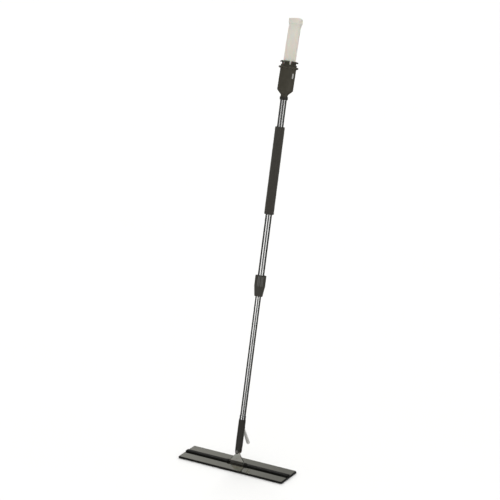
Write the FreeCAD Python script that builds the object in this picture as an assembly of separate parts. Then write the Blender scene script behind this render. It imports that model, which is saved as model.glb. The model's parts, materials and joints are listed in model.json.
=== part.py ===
"""Flat mop with its own solution bottle: board, swivel yoke, telescopic pole and dosing cup.

Row frame, millimetres. The origin is the middle of the board's underside, +X runs along the
board, +Y is the user's side, towards which the pole leans, and +Z is up. A piece of the pole
is drawn upright about Z, at its height above the hinge pin, and is then leaned into place.
A piece of the dosing cup is drawn the same way, with the cup's own small extra lean.
"""
import FreeCAD
import Part
import math
import os

V = FreeCAD.Vector
X, Y, Z = V(1, 0, 0), V(0, 1, 0), V(0, 0, 1)

# ---- Driving dimensions, in millimetres and degrees ------------------------------------
BOARD_LENGTH = 406.0
BOARD_WIDTH = 100.0
BOARD_THICKNESS = 3.0
BOARD_CORNER = 3.0
FOAM_THICKNESS = 3.0
FOAM_RIM_WIDTH = 2.0
FOAM_RIM_HEIGHT = 2.4
STRIP_THICKNESS = 1.0
STRIP_WIDTH = 26.0
RAIL_WIDTH = 16.0
RAIL_HEIGHT = 5.0
PIN_RADIUS = 2.0
YOKE_WIDTH = 56.0

POLE_LEAN = 14.3
CUP_LEAN = 3.0
UPPER_TUBE_RADIUS = 11.0
LOWER_TUBE_RADIUS = 9.75
TUBE_WALL = 0.9
GRIP_RADIUS = 16.5
SOCKET_RADIUS = 12.0
COLLAR_RADIUS = 18.75
CUP_RADIUS = 26.9
BOTTLE_RADIUS = 20.7
BOTTLE_BASE_RADIUS = 24.75
SPOUT_RADIUS = 4.5
SPOUT_ANGLE = 40.0

# Heights above the hinge pin, along the pole
SWIVEL = 38.0
SOCKET_BOTTOM = 28.5
SOCKET_TOP = 149.0
LOCK_BOTTOM = 576.5
LOCK_TOP = 648.0
LOWER_TUBE_TOP = 670.0
GRIP_BOTTOM = 857.0
GRIP_TOP = 1154.5
NECK_BOTTOM = 1247.0
CUP_BEND = 1255.0
CUP_CONE = 1262.0
CUP_FLOOR = 1277.5
CUP_LIP = 1354.5
CUP_TOP = 1366.0
CROWN_TOP = 1378.0
BOTTLE_SHOULDER = 1322.0
BOTTLE_FLARE = 1476.0
BOTTLE_BAND = 1496.0
BOTTLE_TOP = 1518.5

# Fits: a fixed joint within one body, a running fit, and the gap between other moving parts
SNUG = 0.05
RUNNING = 0.05
FREE = 0.35

# ---- Sizes worked out from the driving dimensions --------------------------------------
FOAM_BOTTOM = STRIP_THICKNESS
BOARD_BOTTOM = FOAM_BOTTOM + FOAM_THICKNESS
BOARD_TOP = BOARD_BOTTOM + BOARD_THICKNESS
PIN_HEIGHT = BOARD_TOP + RAIL_HEIGHT
LUG_INNER_END = YOKE_WIDTH / 2 + 1.5
LUG_THICKNESS = 8.0
BRACKET_END = LUG_INNER_END + LUG_THICKNESS
RAIL_INNER_END = BRACKET_END + 0.2
RAIL_OUTER_END = BOARD_LENGTH / 2 - 4
UPPER_TUBE_BORE = UPPER_TUBE_RADIUS - TUBE_WALL
LOWER_TUBE_BORE = LOWER_TUBE_RADIUS - TUBE_WALL

HINGE = V(0, 0, PIN_HEIGHT)
POLE_FRAME = FreeCAD.Placement(HINGE, FreeCAD.Rotation(X, -POLE_LEAN))
CUP_TILT = FreeCAD.Placement(V(0, 0, 0), FreeCAD.Rotation(X, -CUP_LEAN), V(0, 0, CUP_BEND))
CUP_FRAME = POLE_FRAME.multiply(CUP_TILT)


# ---- Shape helpers ---------------------------------------------------------------------
def turned(outline):
    """A body of revolution about Z. Each point is (radius, height). A third value marks the
    middle of an arc that runs from the point before it to the point after it."""
    edges = []
    points = list(outline) + [outline[0]]
    index = 0
    while index < len(points) - 1:
        start = V(points[index][0], 0, points[index][1])
        follower = points[index + 1]
        if len(follower) == 3:
            end = points[index + 2]
            middle = V(follower[0], 0, follower[1])
            edges.append(Part.Arc(start, middle, V(end[0], 0, end[1])).toShape())
            index += 2
        else:
            edges.append(Part.makeLine(start, V(follower[0], 0, follower[1])))
            index += 1
    return Part.Face(Part.Wire(edges)).revolve(V(0, 0, 0), Z, 360)


def dome(radius, low, high):
    """Outline points of a shallow spherical cap, from its rim to its top on the axis."""
    rise = high - low
    sphere = (radius * radius + rise * rise) / (2 * rise)
    half_angle = math.asin(radius / sphere) / 2
    middle = (sphere * math.sin(half_angle), high - sphere * (1 - math.cos(half_angle)), "arc")
    return [(radius, low), middle, (0, high)]


def rod(radius, low, high):
    """A round bar about Z from one height to another."""
    return Part.makeCylinder(radius, high - low, V(0, 0, low), Z)


def tube(outer, inner, low, high):
    """A round tube about Z."""
    return rod(outer, low, high).cut(rod(inner, low - 1, high + 1))


def cross_rod(radius, low, high, height, axis=Y):
    """A round bar along X or Y, centred at a height on Z."""
    return Part.makeCylinder(radius, high - low, V(0, 0, height) + axis * low, axis)


def block(x_range, y_range, z_range):
    """A box from its three ranges."""
    size = [pair[1] - pair[0] for pair in (x_range, y_range, z_range)]
    return Part.makeBox(size[0], size[1], size[2], V(x_range[0], y_range[0], z_range[0]))


def rounded_plate(length, width, corner, low, high):
    """A flat plate centred on Z with rounded corners."""
    plate = block((-length / 2, length / 2), (-width / 2, width / 2), (low, high))
    corners = [edge for edge in plate.Edges if abs(edge.tangentAt(0).z) > 0.9]
    return plate.makeFillet(corner, corners)


def spun(shape, count, start=0.0):
    """Copies of a shape spaced evenly about Z, as a list."""
    copies = []
    for index in range(count):
        copy = shape.copy()
        copy.rotate(V(0, 0, 0), Z, start + 360.0 * index / count)
        copies.append(copy)
    return copies


def mirrored(shape):
    """The same shape on the other side of the pole, across the plane X = 0."""
    return shape.mirror(V(0, 0, 0), X)


def placed(shape, frame):
    """A copy of an upright shape, moved into the pole's or the cup's frame."""
    copy = shape.copy()
    copy.Placement = frame.multiply(copy.Placement)
    return copy


def on_pole(shape):
    return placed(shape, POLE_FRAME)


def on_cup(shape):
    return placed(shape, CUP_FRAME)


# ---- Mop head: board, hinge bracket, rails and hinge pin --------------------------------
BARREL_RADIUS = 4.2
SCREW_PLACES = (BRACKET_END - LUG_THICKNESS / 2, 75.0, 120.0, 165.0)
SCREW_RADIUS = 2.0
SCREW_HEAD_RADIUS = 3.8
SCREW_HEAD_HEIGHT = 1.8
SCREW_TIP = PIN_HEIGHT - 2.8


def rail_screw(grow=0.0):
    """A countersunk screw from the board's underside up into the bracket or a rail."""
    head = SCREW_HEAD_RADIUS + grow
    shank = SCREW_RADIUS + grow
    return turned([(0, BOARD_BOTTOM), (head, BOARD_BOTTOM), (shank, BOARD_BOTTOM + SCREW_HEAD_HEIGHT),
                   (shank, SCREW_TIP + grow), (0, SCREW_TIP + grow)])


def screw_set(grow=0.0):
    screws = []
    for place in SCREW_PLACES:
        for side in (-1, 1):
            screw = rail_screw(grow)
            screw.translate(V(side * place, 0, 0))
            screws.append(screw)
    return screws


def base_board():
    plate = rounded_plate(BOARD_LENGTH, BOARD_WIDTH, BOARD_CORNER, BOARD_BOTTOM, BOARD_TOP)
    rim = [edge for edge in plate.Edges
           if abs(edge.BoundBox.ZMin - BOARD_TOP) < 0.01 and edge.BoundBox.ZLength < 0.01]
    plate = plate.makeFillet(0.6, rim)
    return plate.cut(Part.makeCompound(screw_set(SNUG)))


def foam_backing():
    """The black pad layer under the board, turned up round the board's edge."""
    grow = 2 * FOAM_RIM_WIDTH
    tray = rounded_plate(BOARD_LENGTH + grow, BOARD_WIDTH + grow, BOARD_CORNER + FOAM_RIM_WIDTH,
                         FOAM_BOTTOM, BOARD_BOTTOM + FOAM_RIM_HEIGHT)
    return tray.cut(rounded_plate(BOARD_LENGTH + 2 * SNUG, BOARD_WIDTH + 2 * SNUG, BOARD_CORNER,
                                  BOARD_BOTTOM, BOARD_TOP))


def hook_strip(place):
    """One strip of hook tape, front, middle or rear."""
    strip = rounded_plate(BOARD_LENGTH - 12, STRIP_WIDTH, 4.0, 0, STRIP_THICKNESS)
    strip.translate(V(0, place * (BOARD_WIDTH - STRIP_WIDTH - 6) / 2, 0))
    return strip


CAP_SPIGOT = ((-4.0, 4.0), (BOARD_TOP + 1.0, BOARD_TOP + 3.4))
CAP_REACH = 10.0


def rounded_bar(reach):
    """A stretch of the rail's section along X, with its two top edges rounded."""
    body = block(reach, (-RAIL_WIDTH / 2, RAIL_WIDTH / 2), (BOARD_TOP, PIN_HEIGHT))
    top = [edge for edge in body.Edges
           if edge.BoundBox.ZMin > PIN_HEIGHT - 0.01 and edge.BoundBox.XLength > LUG_THICKNESS / 2]
    return body.makeFillet(2.5, [edge for edge in top if edge.BoundBox.YLength < 0.01])


def hinge_bracket():
    """The black bracket between the rails: a low open frame with a lug for each end of the pin."""
    frame = (BOARD_TOP, BOARD_TOP + 2.0)
    opening = BARREL_RADIUS + 0.8
    body = block((-BRACKET_END, BRACKET_END), (-RAIL_WIDTH / 2, RAIL_WIDTH / 2), frame)
    body = body.cut(block((-LUG_INNER_END, LUG_INNER_END), (-opening, opening), frame))
    for side in (-1, 1):
        reach = sorted((side * LUG_INNER_END, side * BRACKET_END))
        lug = rounded_bar(reach)
        boss = cross_rod(PIN_RADIUS + 2.6, reach[0], reach[1], PIN_HEIGHT, X)
        body = body.multiFuse([lug, boss])
    body = body.cut(cross_rod(PIN_RADIUS + SNUG, -BRACKET_END - 1, BRACKET_END + 1, PIN_HEIGHT, X))
    return body.cut(Part.makeCompound(screw_set(SNUG))).removeSplitter()


def rail():
    """The rail on the +X side of the bracket."""
    body = rounded_bar((RAIL_INNER_END, RAIL_OUTER_END))
    across, upright = CAP_SPIGOT
    pocket = block((RAIL_OUTER_END - CAP_REACH - SNUG, RAIL_OUTER_END + 1),
                   (across[0] - SNUG, across[1] + SNUG), (upright[0] - SNUG, upright[1] + SNUG))
    return body.cut(pocket).cut(Part.makeCompound(screw_set(SNUG))).removeSplitter()


def rail_cap():
    """The end plug of the +X rail: a head flush with the board's end and a spigot in the rail."""
    half = RAIL_WIDTH / 2
    head = block((RAIL_OUTER_END + 0.1, BOARD_LENGTH / 2), (-half, half), (BOARD_TOP, PIN_HEIGHT))
    upper = [edge for edge in head.Edges if edge.BoundBox.ZMin > PIN_HEIGHT - 0.01]
    head = head.makeFillet(1.2, [edge for edge in upper if edge.CenterOfMass.x > RAIL_OUTER_END + 1])
    across, upright = CAP_SPIGOT
    return head.fuse(block((RAIL_OUTER_END - CAP_REACH, RAIL_OUTER_END + 1), across, upright))


def hinge_pin():
    reach = BRACKET_END - 0.3
    pin = cross_rod(PIN_RADIUS, -reach, reach, PIN_HEIGHT, X)
    return pin.makeChamfer(0.6, [edge for edge in pin.Edges if edge.BoundBox.XLength < 0.01])


# ---- Swivel yoke -----------------------------------------------------------------------
KNUCKLE_RADIUS = 7.5
KNUCKLE_HALF = 4.0
BOLT_RADIUS = 3.0
BUSH_RADIUS = 3.1
BUSH_LENGTH = 12.0
WEB_THICKNESS = 4.0
WEB_SIDE = ((26.5, BARREL_RADIUS - 1), (13.5, 20.0), (5.5, SWIVEL - 4))
TONGUE_HALF = 14.0
TONGUE_THICKNESS = 3.0
TONGUE_BOTTOM = 3.0


def yoke_tongue(grow=0.0):
    """The foot of the yoke's web that stands in the barrel's slot."""
    return block((-TONGUE_HALF - grow, TONGUE_HALF + grow),
                 (-TONGUE_THICKNESS / 2 - grow, TONGUE_THICKNESS / 2 + grow),
                 (TONGUE_BOTTOM - grow, BARREL_RADIUS + 1))


def yoke():
    """A tapered web with a knuckle on the swivel bolt, seated on the barrel."""
    right = [V(out, 0, height) for out, height in WEB_SIDE]
    left = [V(-out, 0, height) for out, height in reversed(WEB_SIDE)]
    outline = right + left + right[:1]
    web = Part.Face(Part.makePolygon(outline)).extrude(V(0, WEB_THICKNESS, 0))
    web.translate(V(0, -WEB_THICKNESS / 2, 0))
    knuckle = cross_rod(KNUCKLE_RADIUS, -KNUCKLE_HALF, KNUCKLE_HALF, SWIVEL)
    body = web.fuse(knuckle).cut(cross_rod(BARREL_RADIUS + SNUG, -YOKE_WIDTH, YOKE_WIDTH, 0, X))
    body = body.fuse(yoke_tongue())
    body = body.cut(cross_rod(BOLT_RADIUS + RUNNING, -KNUCKLE_HALF - 1, KNUCKLE_HALF + 1, SWIVEL))
    return body.removeSplitter()


def yoke_barrel():
    """The dark barrel on the hinge pin, bored for its bushes and slotted for the yoke's foot."""
    half = YOKE_WIDTH / 2
    body = cross_rod(BARREL_RADIUS, -half, half, 0, X)
    body = body.cut(cross_rod(PIN_RADIUS + 0.5, -half - 1, half + 1, 0, X))
    for side in (-1, 1):
        seat = sorted((side * (half + 1), side * (half - BUSH_LENGTH)))
        body = body.cut(cross_rod(BUSH_RADIUS, seat[0], seat[1], 0, X))
    return body.cut(yoke_tongue(SNUG)).removeSplitter()


def yoke_bush():
    """The bearing bush in the +X end of the yoke's barrel."""
    half = YOKE_WIDTH / 2
    ring = cross_rod(BUSH_RADIUS - SNUG, half - BUSH_LENGTH + SNUG, half, 0, X)
    return ring.cut(cross_rod(PIN_RADIUS + RUNNING, half - BUSH_LENGTH - 1, half + 1, 0, X))


# ---- Pole socket and swivel bolt -------------------------------------------------------
FORK_HALF_GAP = 5.2
FORK_DEPTH = SWIVEL + 10.5
TUBE_SEAT = 60.0
EAR_FACE = 11.0
SPOUT_EXIT = 121.0
SPOUT_TIP_OUT = 64.0


def along_spout(radius, start_out, end_out):
    """A round bar on the spout's axis between two distances out from the pole's axis."""
    slope = 1.0 / math.tan(math.radians(SPOUT_ANGLE))
    start = V(0, start_out, SPOUT_EXIT + (SOCKET_RADIUS - start_out) * slope)
    end = V(0, end_out, SPOUT_EXIT + (SOCKET_RADIUS - end_out) * slope)
    return Part.makeCylinder(radius, (end - start).Length, start, end - start)


SPOUT_ROOT_OUT = 3.0


def pole_socket():
    """The moulded socket: tube bore above, fork round the knuckle below, spout port behind."""
    ear = 9.5
    outline = [V(-SOCKET_RADIUS, 0, SOCKET_TOP), V(SOCKET_RADIUS, 0, SOCKET_TOP), V(SOCKET_RADIUS, 0, 66),
               V(ear, 0, SWIVEL)]
    edges = [Part.makeLine(outline[i], outline[i + 1]) for i in range(3)]
    edges.append(Part.Arc(outline[3], V(0, 0, SOCKET_BOTTOM), V(-ear, 0, SWIVEL)).toShape())
    edges.append(Part.makeLine(V(-ear, 0, SWIVEL), V(-SOCKET_RADIUS, 0, 66)))
    edges.append(Part.makeLine(V(-SOCKET_RADIUS, 0, 66), outline[0]))
    silhouette = Part.Face(Part.Wire(edges)).extrude(V(0, 40, 0))
    silhouette.translate(V(0, -20, 0))
    round_body = turned([(0, SOCKET_BOTTOM - 5), (SOCKET_RADIUS, SOCKET_BOTTOM - 5),
                         (SOCKET_RADIUS, SOCKET_TOP - 1), (SOCKET_RADIUS - 1, SOCKET_TOP), (0, SOCKET_TOP)])
    body = round_body.common(silhouette)
    body = body.fuse(along_spout(SPOUT_RADIUS + 2.0, 5.0, SOCKET_RADIUS + 2.5))
    body = body.cut(block((-20, 20), (-FORK_HALF_GAP, FORK_HALF_GAP), (0, FORK_DEPTH)))
    body = body.cut(rod(LOWER_TUBE_RADIUS + SNUG, TUBE_SEAT, SOCKET_TOP + 1))
    body = body.cut(cross_rod(BOLT_RADIUS + SNUG, -20, 20, SWIVEL))
    for side in (-1, 1):
        spot_face = sorted((side * EAR_FACE, side * 20.0))
        body = body.cut(cross_rod(KNUCKLE_RADIUS + 0.2, spot_face[0], spot_face[1], SWIVEL))
    body = body.cut(along_spout(SPOUT_RADIUS + SNUG, SPOUT_ROOT_OUT, SOCKET_RADIUS + 10))
    return body.cut(socket_screw(SNUG)).removeSplitter()


def pivot_bolt():
    """Shouldered bolt with a domed head on the front ear."""
    radius = 5.8
    head = turned([(0, 0), (radius, 0)] + dome(radius, 1.2, 3.6))
    head.rotate(V(0, 0, 0), X, 90)
    head.translate(V(0, -EAR_FACE, SWIVEL))
    return head.fuse(cross_rod(BOLT_RADIUS, -EAR_FACE - 1, EAR_FACE + 5.2, SWIVEL)).removeSplitter()


def pivot_nut():
    """Hexagon nut on the rear ear."""
    corner = 5.8
    angles = [math.radians(60 * i) for i in range(6)]
    ring = [V(corner * math.cos(angle), EAR_FACE, SWIVEL + corner * math.sin(angle)) for angle in angles]
    nut = Part.Face(Part.makePolygon(ring + ring[:1])).extrude(V(0, 4.2, 0))
    return nut.cut(cross_rod(BOLT_RADIUS + SNUG, EAR_FACE - 1, EAR_FACE + 8, SWIVEL))


def pivot_washers():
    """Two plain washers between the knuckle and the ears."""
    washers = []
    for side in (-1, 1):
        faces = sorted((side * (KNUCKLE_HALF + FREE), side * (FORK_HALF_GAP - SNUG)))
        ring = cross_rod(KNUCKLE_RADIUS - 0.5, faces[0], faces[1], SWIVEL)
        washers.append(ring.cut(cross_rod(BOLT_RADIUS + SNUG, faces[0] - 1, faces[1] + 1, SWIVEL)))
    return Part.makeCompound(washers)


def socket_screw(grow=0.0):
    """The screw that holds the lower tube in the socket, on the -X side."""
    height = 86.0
    head = cross_rod(3.4 + grow, -SOCKET_RADIUS - 0.8, -SOCKET_RADIUS + 1.4, height, X)
    shank = cross_rod(1.7 + grow, -SOCKET_RADIUS, -LOWER_TUBE_BORE + 2.0, height, X)
    return head.fuse(shank).removeSplitter()


# ---- Lower tube and its solution line --------------------------------------------------
SOLUTION_RADIUS = 6.0
SOLUTION_BORE = 5.0
FITTING = (108.0, 152.0)
SOLUTION_SEAT = 140.0
GLAND = (632.0, 648.0)
GLAND_SEAT = 640.0
RING_HEIGHT = 644.0
RING_WIRE = 0.9
INNER_LINE_RADIUS = 4.0
INNER_LINE_BOTTOM = 600.0


def lower_tube():
    wall = tube(LOWER_TUBE_RADIUS, LOWER_TUBE_BORE, TUBE_SEAT + SNUG, LOWER_TUBE_TOP)
    return wall.cut(along_spout(SPOUT_RADIUS + SNUG, 0, 20)).cut(socket_screw(SNUG))


def tube_ferrule():
    """Bright ring with a groove, seated on the socket's mouth."""
    inner = LOWER_TUBE_RADIUS + SNUG
    outer = LOWER_TUBE_RADIUS + 1.1
    low = SOCKET_TOP + SNUG
    return turned([(inner, low), (outer, low), (outer, low + 6), (outer - 0.6, low + 6.6),
                   (outer - 0.6, low + 7.6), (outer, low + 8.2), (outer, low + 12), (outer - 0.8, low + 13),
                   (inner, low + 13)])


def spout_fitting():
    """Plug in the lower tube that turns the solution line out into the spout."""
    body = rod(LOWER_TUBE_BORE - SNUG, FITTING[0], FITTING[1])
    body = body.cut(rod(SOLUTION_RADIUS + SNUG, SOLUTION_SEAT, FITTING[1] + 1))
    body = body.cut(rod(2.5, FITTING[0] + 22, SOLUTION_SEAT + 1))
    return body.cut(along_spout(SPOUT_RADIUS + SNUG, SPOUT_ROOT_OUT, 20)).removeSplitter()


def outlet_spout():
    """Clear tube with a rounded tip, from the fitting to behind the board's rear edge."""
    body = along_spout(SPOUT_RADIUS, SPOUT_ROOT_OUT + 0.1, SPOUT_TIP_OUT)
    tip = max(body.Edges, key=lambda edge: edge.CenterOfMass.y)
    return body.makeFillet(1.2, [tip]).cut(along_spout(SPOUT_RADIUS - 1.5, 0, SPOUT_TIP_OUT + 5))


def lower_solution_tube():
    return tube(SOLUTION_RADIUS, SOLUTION_BORE, SOLUTION_SEAT + SNUG, GLAND_SEAT)


def seal_gland():
    """Cap on the lower solution tube, with a groove for the sliding seal."""
    body = tube(7.5, INNER_LINE_RADIUS + 0.1, GLAND[0], GLAND[1])
    body = body.cut(rod(SOLUTION_RADIUS + SNUG, GLAND[0] - 1, GLAND_SEAT + SNUG))
    groove = RING_WIRE + 0.15
    return body.cut(tube(INNER_LINE_RADIUS + 2 * groove, INNER_LINE_RADIUS, RING_HEIGHT - groove,
                         RING_HEIGHT + groove))


def gland_ring():
    return Part.makeTorus(INNER_LINE_RADIUS + RUNNING + RING_WIRE, RING_WIRE, V(0, 0, RING_HEIGHT), Z)


def guide_plug():
    """Bush in the lower tube's top end that centres it in the upper tube."""
    bore = 5.0
    shank = LOWER_TUBE_BORE - SNUG
    flange = UPPER_TUBE_BORE - 0.07
    seat = LOWER_TUBE_TOP + SNUG
    top = LOWER_TUBE_TOP + 6
    return turned([(bore, LOWER_TUBE_TOP - 16), (shank, LOWER_TUBE_TOP - 16), (shank, seat), (flange, seat),
                   (flange, top - 1), (flange - 1, top), (bore, top)])


# ---- Upper tube, twist lock and grip ---------------------------------------------------
UPPER_TUBE_BOTTOM = 600.0
UPPER_TUBE_TOP = CUP_BEND + 1
LOCK_BODY_RADIUS = 12.6
COLLET_TOP = 597.0
COLLAR_SHOULDER = (LOCK_BOTTOM + LOCK_TOP) / 2
FLUTES = 12


def upper_tube():
    return tube(UPPER_TUBE_RADIUS, UPPER_TUBE_BORE, UPPER_TUBE_BOTTOM, UPPER_TUBE_TOP)


def lock_body():
    """Sleeve on the upper tube's lower end: collet pocket below, tube socket above."""
    bore = UPPER_TUBE_RADIUS + SNUG
    body = tube(LOCK_BODY_RADIUS, LOWER_TUBE_RADIUS + FREE, LOCK_BOTTOM + 6.5, LOCK_TOP + 1)
    body = body.cut(rod(bore, UPPER_TUBE_BOTTOM - SNUG, LOCK_TOP + 2))
    return body.cut(rod(bore, LOCK_BOTTOM + 6, COLLET_TOP + SNUG))


def lock_collet():
    """Slotted ring that the twist collar closes on the lower tube."""
    low = LOCK_BOTTOM + 4.0
    ring = tube(UPPER_TUBE_RADIUS, LOWER_TUBE_RADIUS + RUNNING, low, COLLET_TOP)
    slot = block((LOWER_TUBE_RADIUS - 1, UPPER_TUBE_RADIUS + 1), (-0.6, 0.6), (low - 1, COLLET_TOP - 4))
    return ring.cut(Part.makeCompound(spun(slot, 6)))


def twist_collar():
    """Fluted collar, straight above and tapering below, that turns on the lock body."""
    bore = LOCK_BODY_RADIUS + FREE
    lip = LOWER_TUBE_RADIUS + FREE
    foot = COLLAR_RADIUS - 4.75
    body = turned([(lip, LOCK_BOTTOM), (foot - 0.8, LOCK_BOTTOM), (foot, LOCK_BOTTOM + 0.8),
                   (COLLAR_RADIUS, COLLAR_SHOULDER), (COLLAR_RADIUS, LOCK_TOP - 1),
                   (COLLAR_RADIUS - 1, LOCK_TOP), (bore, LOCK_TOP), (bore, LOCK_BOTTOM + 3),
                   (lip, LOCK_BOTTOM + 3)])
    flute = rod(3.0, COLLAR_SHOULDER, LOCK_TOP + 10)
    flute.translate(V(COLLAR_RADIUS + 2.2, 0, 0))
    return body.cut(Part.makeCompound(spun(flute, FLUTES, 360.0 / FLUTES / 2)))


def foam_grip():
    bore = UPPER_TUBE_RADIUS + SNUG
    edge = 3.0
    turn = edge * (1 - math.sqrt(0.5))
    return turned([(bore, GRIP_BOTTOM), (GRIP_RADIUS - edge, GRIP_BOTTOM),
                   (GRIP_RADIUS - turn, GRIP_BOTTOM + turn, "arc"), (GRIP_RADIUS, GRIP_BOTTOM + edge),
                   (GRIP_RADIUS, GRIP_TOP - edge), (GRIP_RADIUS - turn, GRIP_TOP - turn, "arc"),
                   (GRIP_RADIUS - edge, GRIP_TOP), (bore, GRIP_TOP)])


def upper_solution_tube():
    return tube(INNER_LINE_RADIUS, INNER_LINE_RADIUS - 1.2, INNER_LINE_BOTTOM, CUP_CONE)


# ---- Dosing cup ------------------------------------------------------------------------
NECK_RADIUS = 13.0
CLAMP_HEIGHT = (1245.5, 1255.5)
CLAMP_TAB = 17.5
CLAMP_SCREW_OUT = 15.4
CUP_BORE = CUP_RADIUS - 2.5
WINDOW_LENGTH = 18.0
WINDOW_WIDTH = 7.0
WINDOW_HEIGHT = 1327.0
WINDOW_TURN = -17.0
VALVE_DECK = 1270.0
SEAL_SEAT = 1276.5
SEAL_BORE = 8.0 + RUNNING
PIN_TOP = 1289.5


def window_bar(grow=0.0):
    """An oblong bar across the cup's wall, both sides, for the sight windows."""
    radius = WINDOW_WIDTH / 2 + grow
    straight = (WINDOW_LENGTH - WINDOW_WIDTH) / 2
    bar = block((-40, 40), (-radius, radius), (WINDOW_HEIGHT - straight, WINDOW_HEIGHT + straight))
    ends = [cross_rod(radius, -40, 40, WINDOW_HEIGHT + side * straight, X) for side in (-1, 1)]
    bar = bar.multiFuse(ends).removeSplitter()
    bar.rotate(V(0, 0, 0), Z, WINDOW_TURN)
    return bar


def bottle_cup():
    """Cup with a conical floor, a rolled lip, and a neck sleeve on the upper tube."""
    outside = [(0, CUP_BEND), (NECK_RADIUS, CUP_BEND), (NECK_RADIUS, CUP_CONE), (CUP_RADIUS, CUP_FLOOR)]
    lip = [(CUP_RADIUS, CUP_LIP - 4), (CUP_RADIUS + 4, CUP_LIP - 2.2), (CUP_RADIUS + 5, CUP_LIP, "arc"),
           (CUP_RADIUS + 4, CUP_LIP + 2), (CUP_RADIUS + 0.2, CUP_LIP + 2.6)]
    rim = [(CUP_RADIUS + 0.2, CUP_TOP - 1), (CUP_RADIUS - 0.8, CUP_TOP), (CUP_BORE, CUP_TOP)]
    inside = [(CUP_BORE, CUP_FLOOR + 6.5), (15.0, CUP_FLOOR + 4.5), (15.0, SEAL_SEAT), (11.6, SEAL_SEAT),
              (11.6, VALVE_DECK), (0, VALVE_DECK)]
    wall = turned(outside + lip + rim + inside)
    sleeve = rod(NECK_RADIUS - 0.1, NECK_BOTTOM, CUP_CONE)
    bore = rod(UPPER_TUBE_RADIUS + SNUG, NECK_BOTTOM - 1, UPPER_TUBE_TOP + SNUG)
    line = rod(INNER_LINE_RADIUS + SNUG, NECK_BOTTOM - 1, CUP_CONE + SNUG)
    body = on_cup(wall).fuse(on_pole(sleeve)).cut(on_pole(bore.fuse(line)))
    body = body.cut(on_cup(rod(2.0, CUP_CONE - 3, VALVE_DECK + 1)))
    return body.cut(on_cup(window_bar(SNUG))).removeSplitter()


def sight_window():
    """Clear lens in the cup's wall, on the +X side."""
    heights = (WINDOW_HEIGHT - WINDOW_LENGTH, WINDOW_HEIGHT + WINDOW_LENGTH)
    shell = tube(CUP_RADIUS - 0.2, CUP_BORE + 0.2, heights[0], heights[1])
    return shell.common(window_bar()).common(block((0, 40), (-20, 20), heights))


def clamp_screw_set(grow=0.0):
    """Cross screws of the neck clamp, one in each tab."""
    middle = sum(CLAMP_HEIGHT) / 2
    screws = []
    for side in (-1, 1):
        shank = Part.makeCylinder(1.2 + grow, 9.0, V(-4.5, side * CLAMP_SCREW_OUT, middle), X)
        head = Part.makeCylinder(1.9 + grow, 1.2, V(-5.2, side * CLAMP_SCREW_OUT, middle), X)
        screws.append(shank.fuse(head).removeSplitter())
    return screws


def neck_clamp():
    """Clamp ring round the cup's neck, with a screw tab in front and one behind."""
    ring = rod(NECK_RADIUS + 0.9, *CLAMP_HEIGHT)
    for side in (-1, 1):
        reach = sorted((side * 10.0, side * CLAMP_TAB))
        tab = block((-4, 4), reach, (CLAMP_HEIGHT[0] + 1, CLAMP_HEIGHT[1] - 1))
        outer = [edge for edge in tab.Edges if abs(edge.CenterOfMass.y) > CLAMP_TAB - 0.01]
        ring = ring.fuse(tab.makeFillet(1.0, outer))
    ring = ring.cut(rod(NECK_RADIUS + SNUG, CLAMP_HEIGHT[0] + 1.5, CLAMP_HEIGHT[1] + 1))
    ring = ring.cut(rod(UPPER_TUBE_RADIUS + SNUG, CLAMP_HEIGHT[0] - 1, CLAMP_HEIGHT[1]))
    return ring.cut(Part.makeCompound(clamp_screw_set(SNUG))).removeSplitter()


def valve_pin():
    """Fixed pin on a drained disc in the cup's floor, which opens the bottle's valve."""
    disc = rod(11.5, VALVE_DECK + SNUG, VALVE_DECK + 2.5)
    drain = Part.makeCylinder(1.6, 6, V(6.0, 0, VALVE_DECK - 1), Z)
    disc = disc.cut(Part.makeCompound(spun(drain, 6)))
    return disc.fuse(turned([(0, VALVE_DECK + 1), (2.0, VALVE_DECK + 1), (2.0, PIN_TOP - 0.5),
                             (1.5, PIN_TOP), (0, PIN_TOP)])).removeSplitter()


def nose_seal():
    """Rubber ring that the bottle's nose slides through."""
    return tube(14.9, SEAL_BORE, SEAL_SEAT + SNUG, SEAL_SEAT + 5)


# ---- Finger crown and bottle -----------------------------------------------------------
CROWN_BORE = BOTTLE_RADIUS + 0.5
CROWN_RADIUS = CUP_BORE - 0.4
CROWN_BOTTOM = 1340.0
CROWN_LIP_RADIUS = 31.0
PRESS_TRAVEL = 6.0
HOOK_BOTTOM = CUP_TOP + PRESS_TRAVEL + 0.3
FINGERS = 6
FINGER_GAP = 6.2
FIRST_GAP_ANGLE = -52.0


def finger_crown():
    """Ring of broad sprung fingers with outward hooks, which holds the bottle and carries the push."""
    stem = [(CROWN_BORE, CROWN_BOTTOM), (CROWN_RADIUS, CROWN_BOTTOM), (CROWN_RADIUS, HOOK_BOTTOM - 0.5)]
    hook = [(CROWN_RADIUS + 0.5, HOOK_BOTTOM), (CROWN_LIP_RADIUS - 0.8, HOOK_BOTTOM + 0.2),
            (CROWN_LIP_RADIUS, HOOK_BOTTOM + 1.2, "arc"), (CROWN_LIP_RADIUS - 0.8, HOOK_BOTTOM + 2.2),
            (CROWN_LIP_RADIUS - 4.6, CROWN_TOP)]
    funnel = [(CROWN_BORE + 3.4, CROWN_TOP), (CROWN_BORE + 2.8, CROWN_TOP - 3), (CROWN_BORE, CUP_TOP + 1)]
    body = turned(stem + hook + funnel)
    gap = block((CROWN_BORE - 3, CROWN_LIP_RADIUS + 3), (-FINGER_GAP / 2, FINGER_GAP / 2),
                (CROWN_BOTTOM + 13, CROWN_TOP + 5))
    return body.cut(Part.makeCompound(spun(gap, FINGERS, FIRST_GAP_ANGLE)))


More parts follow.
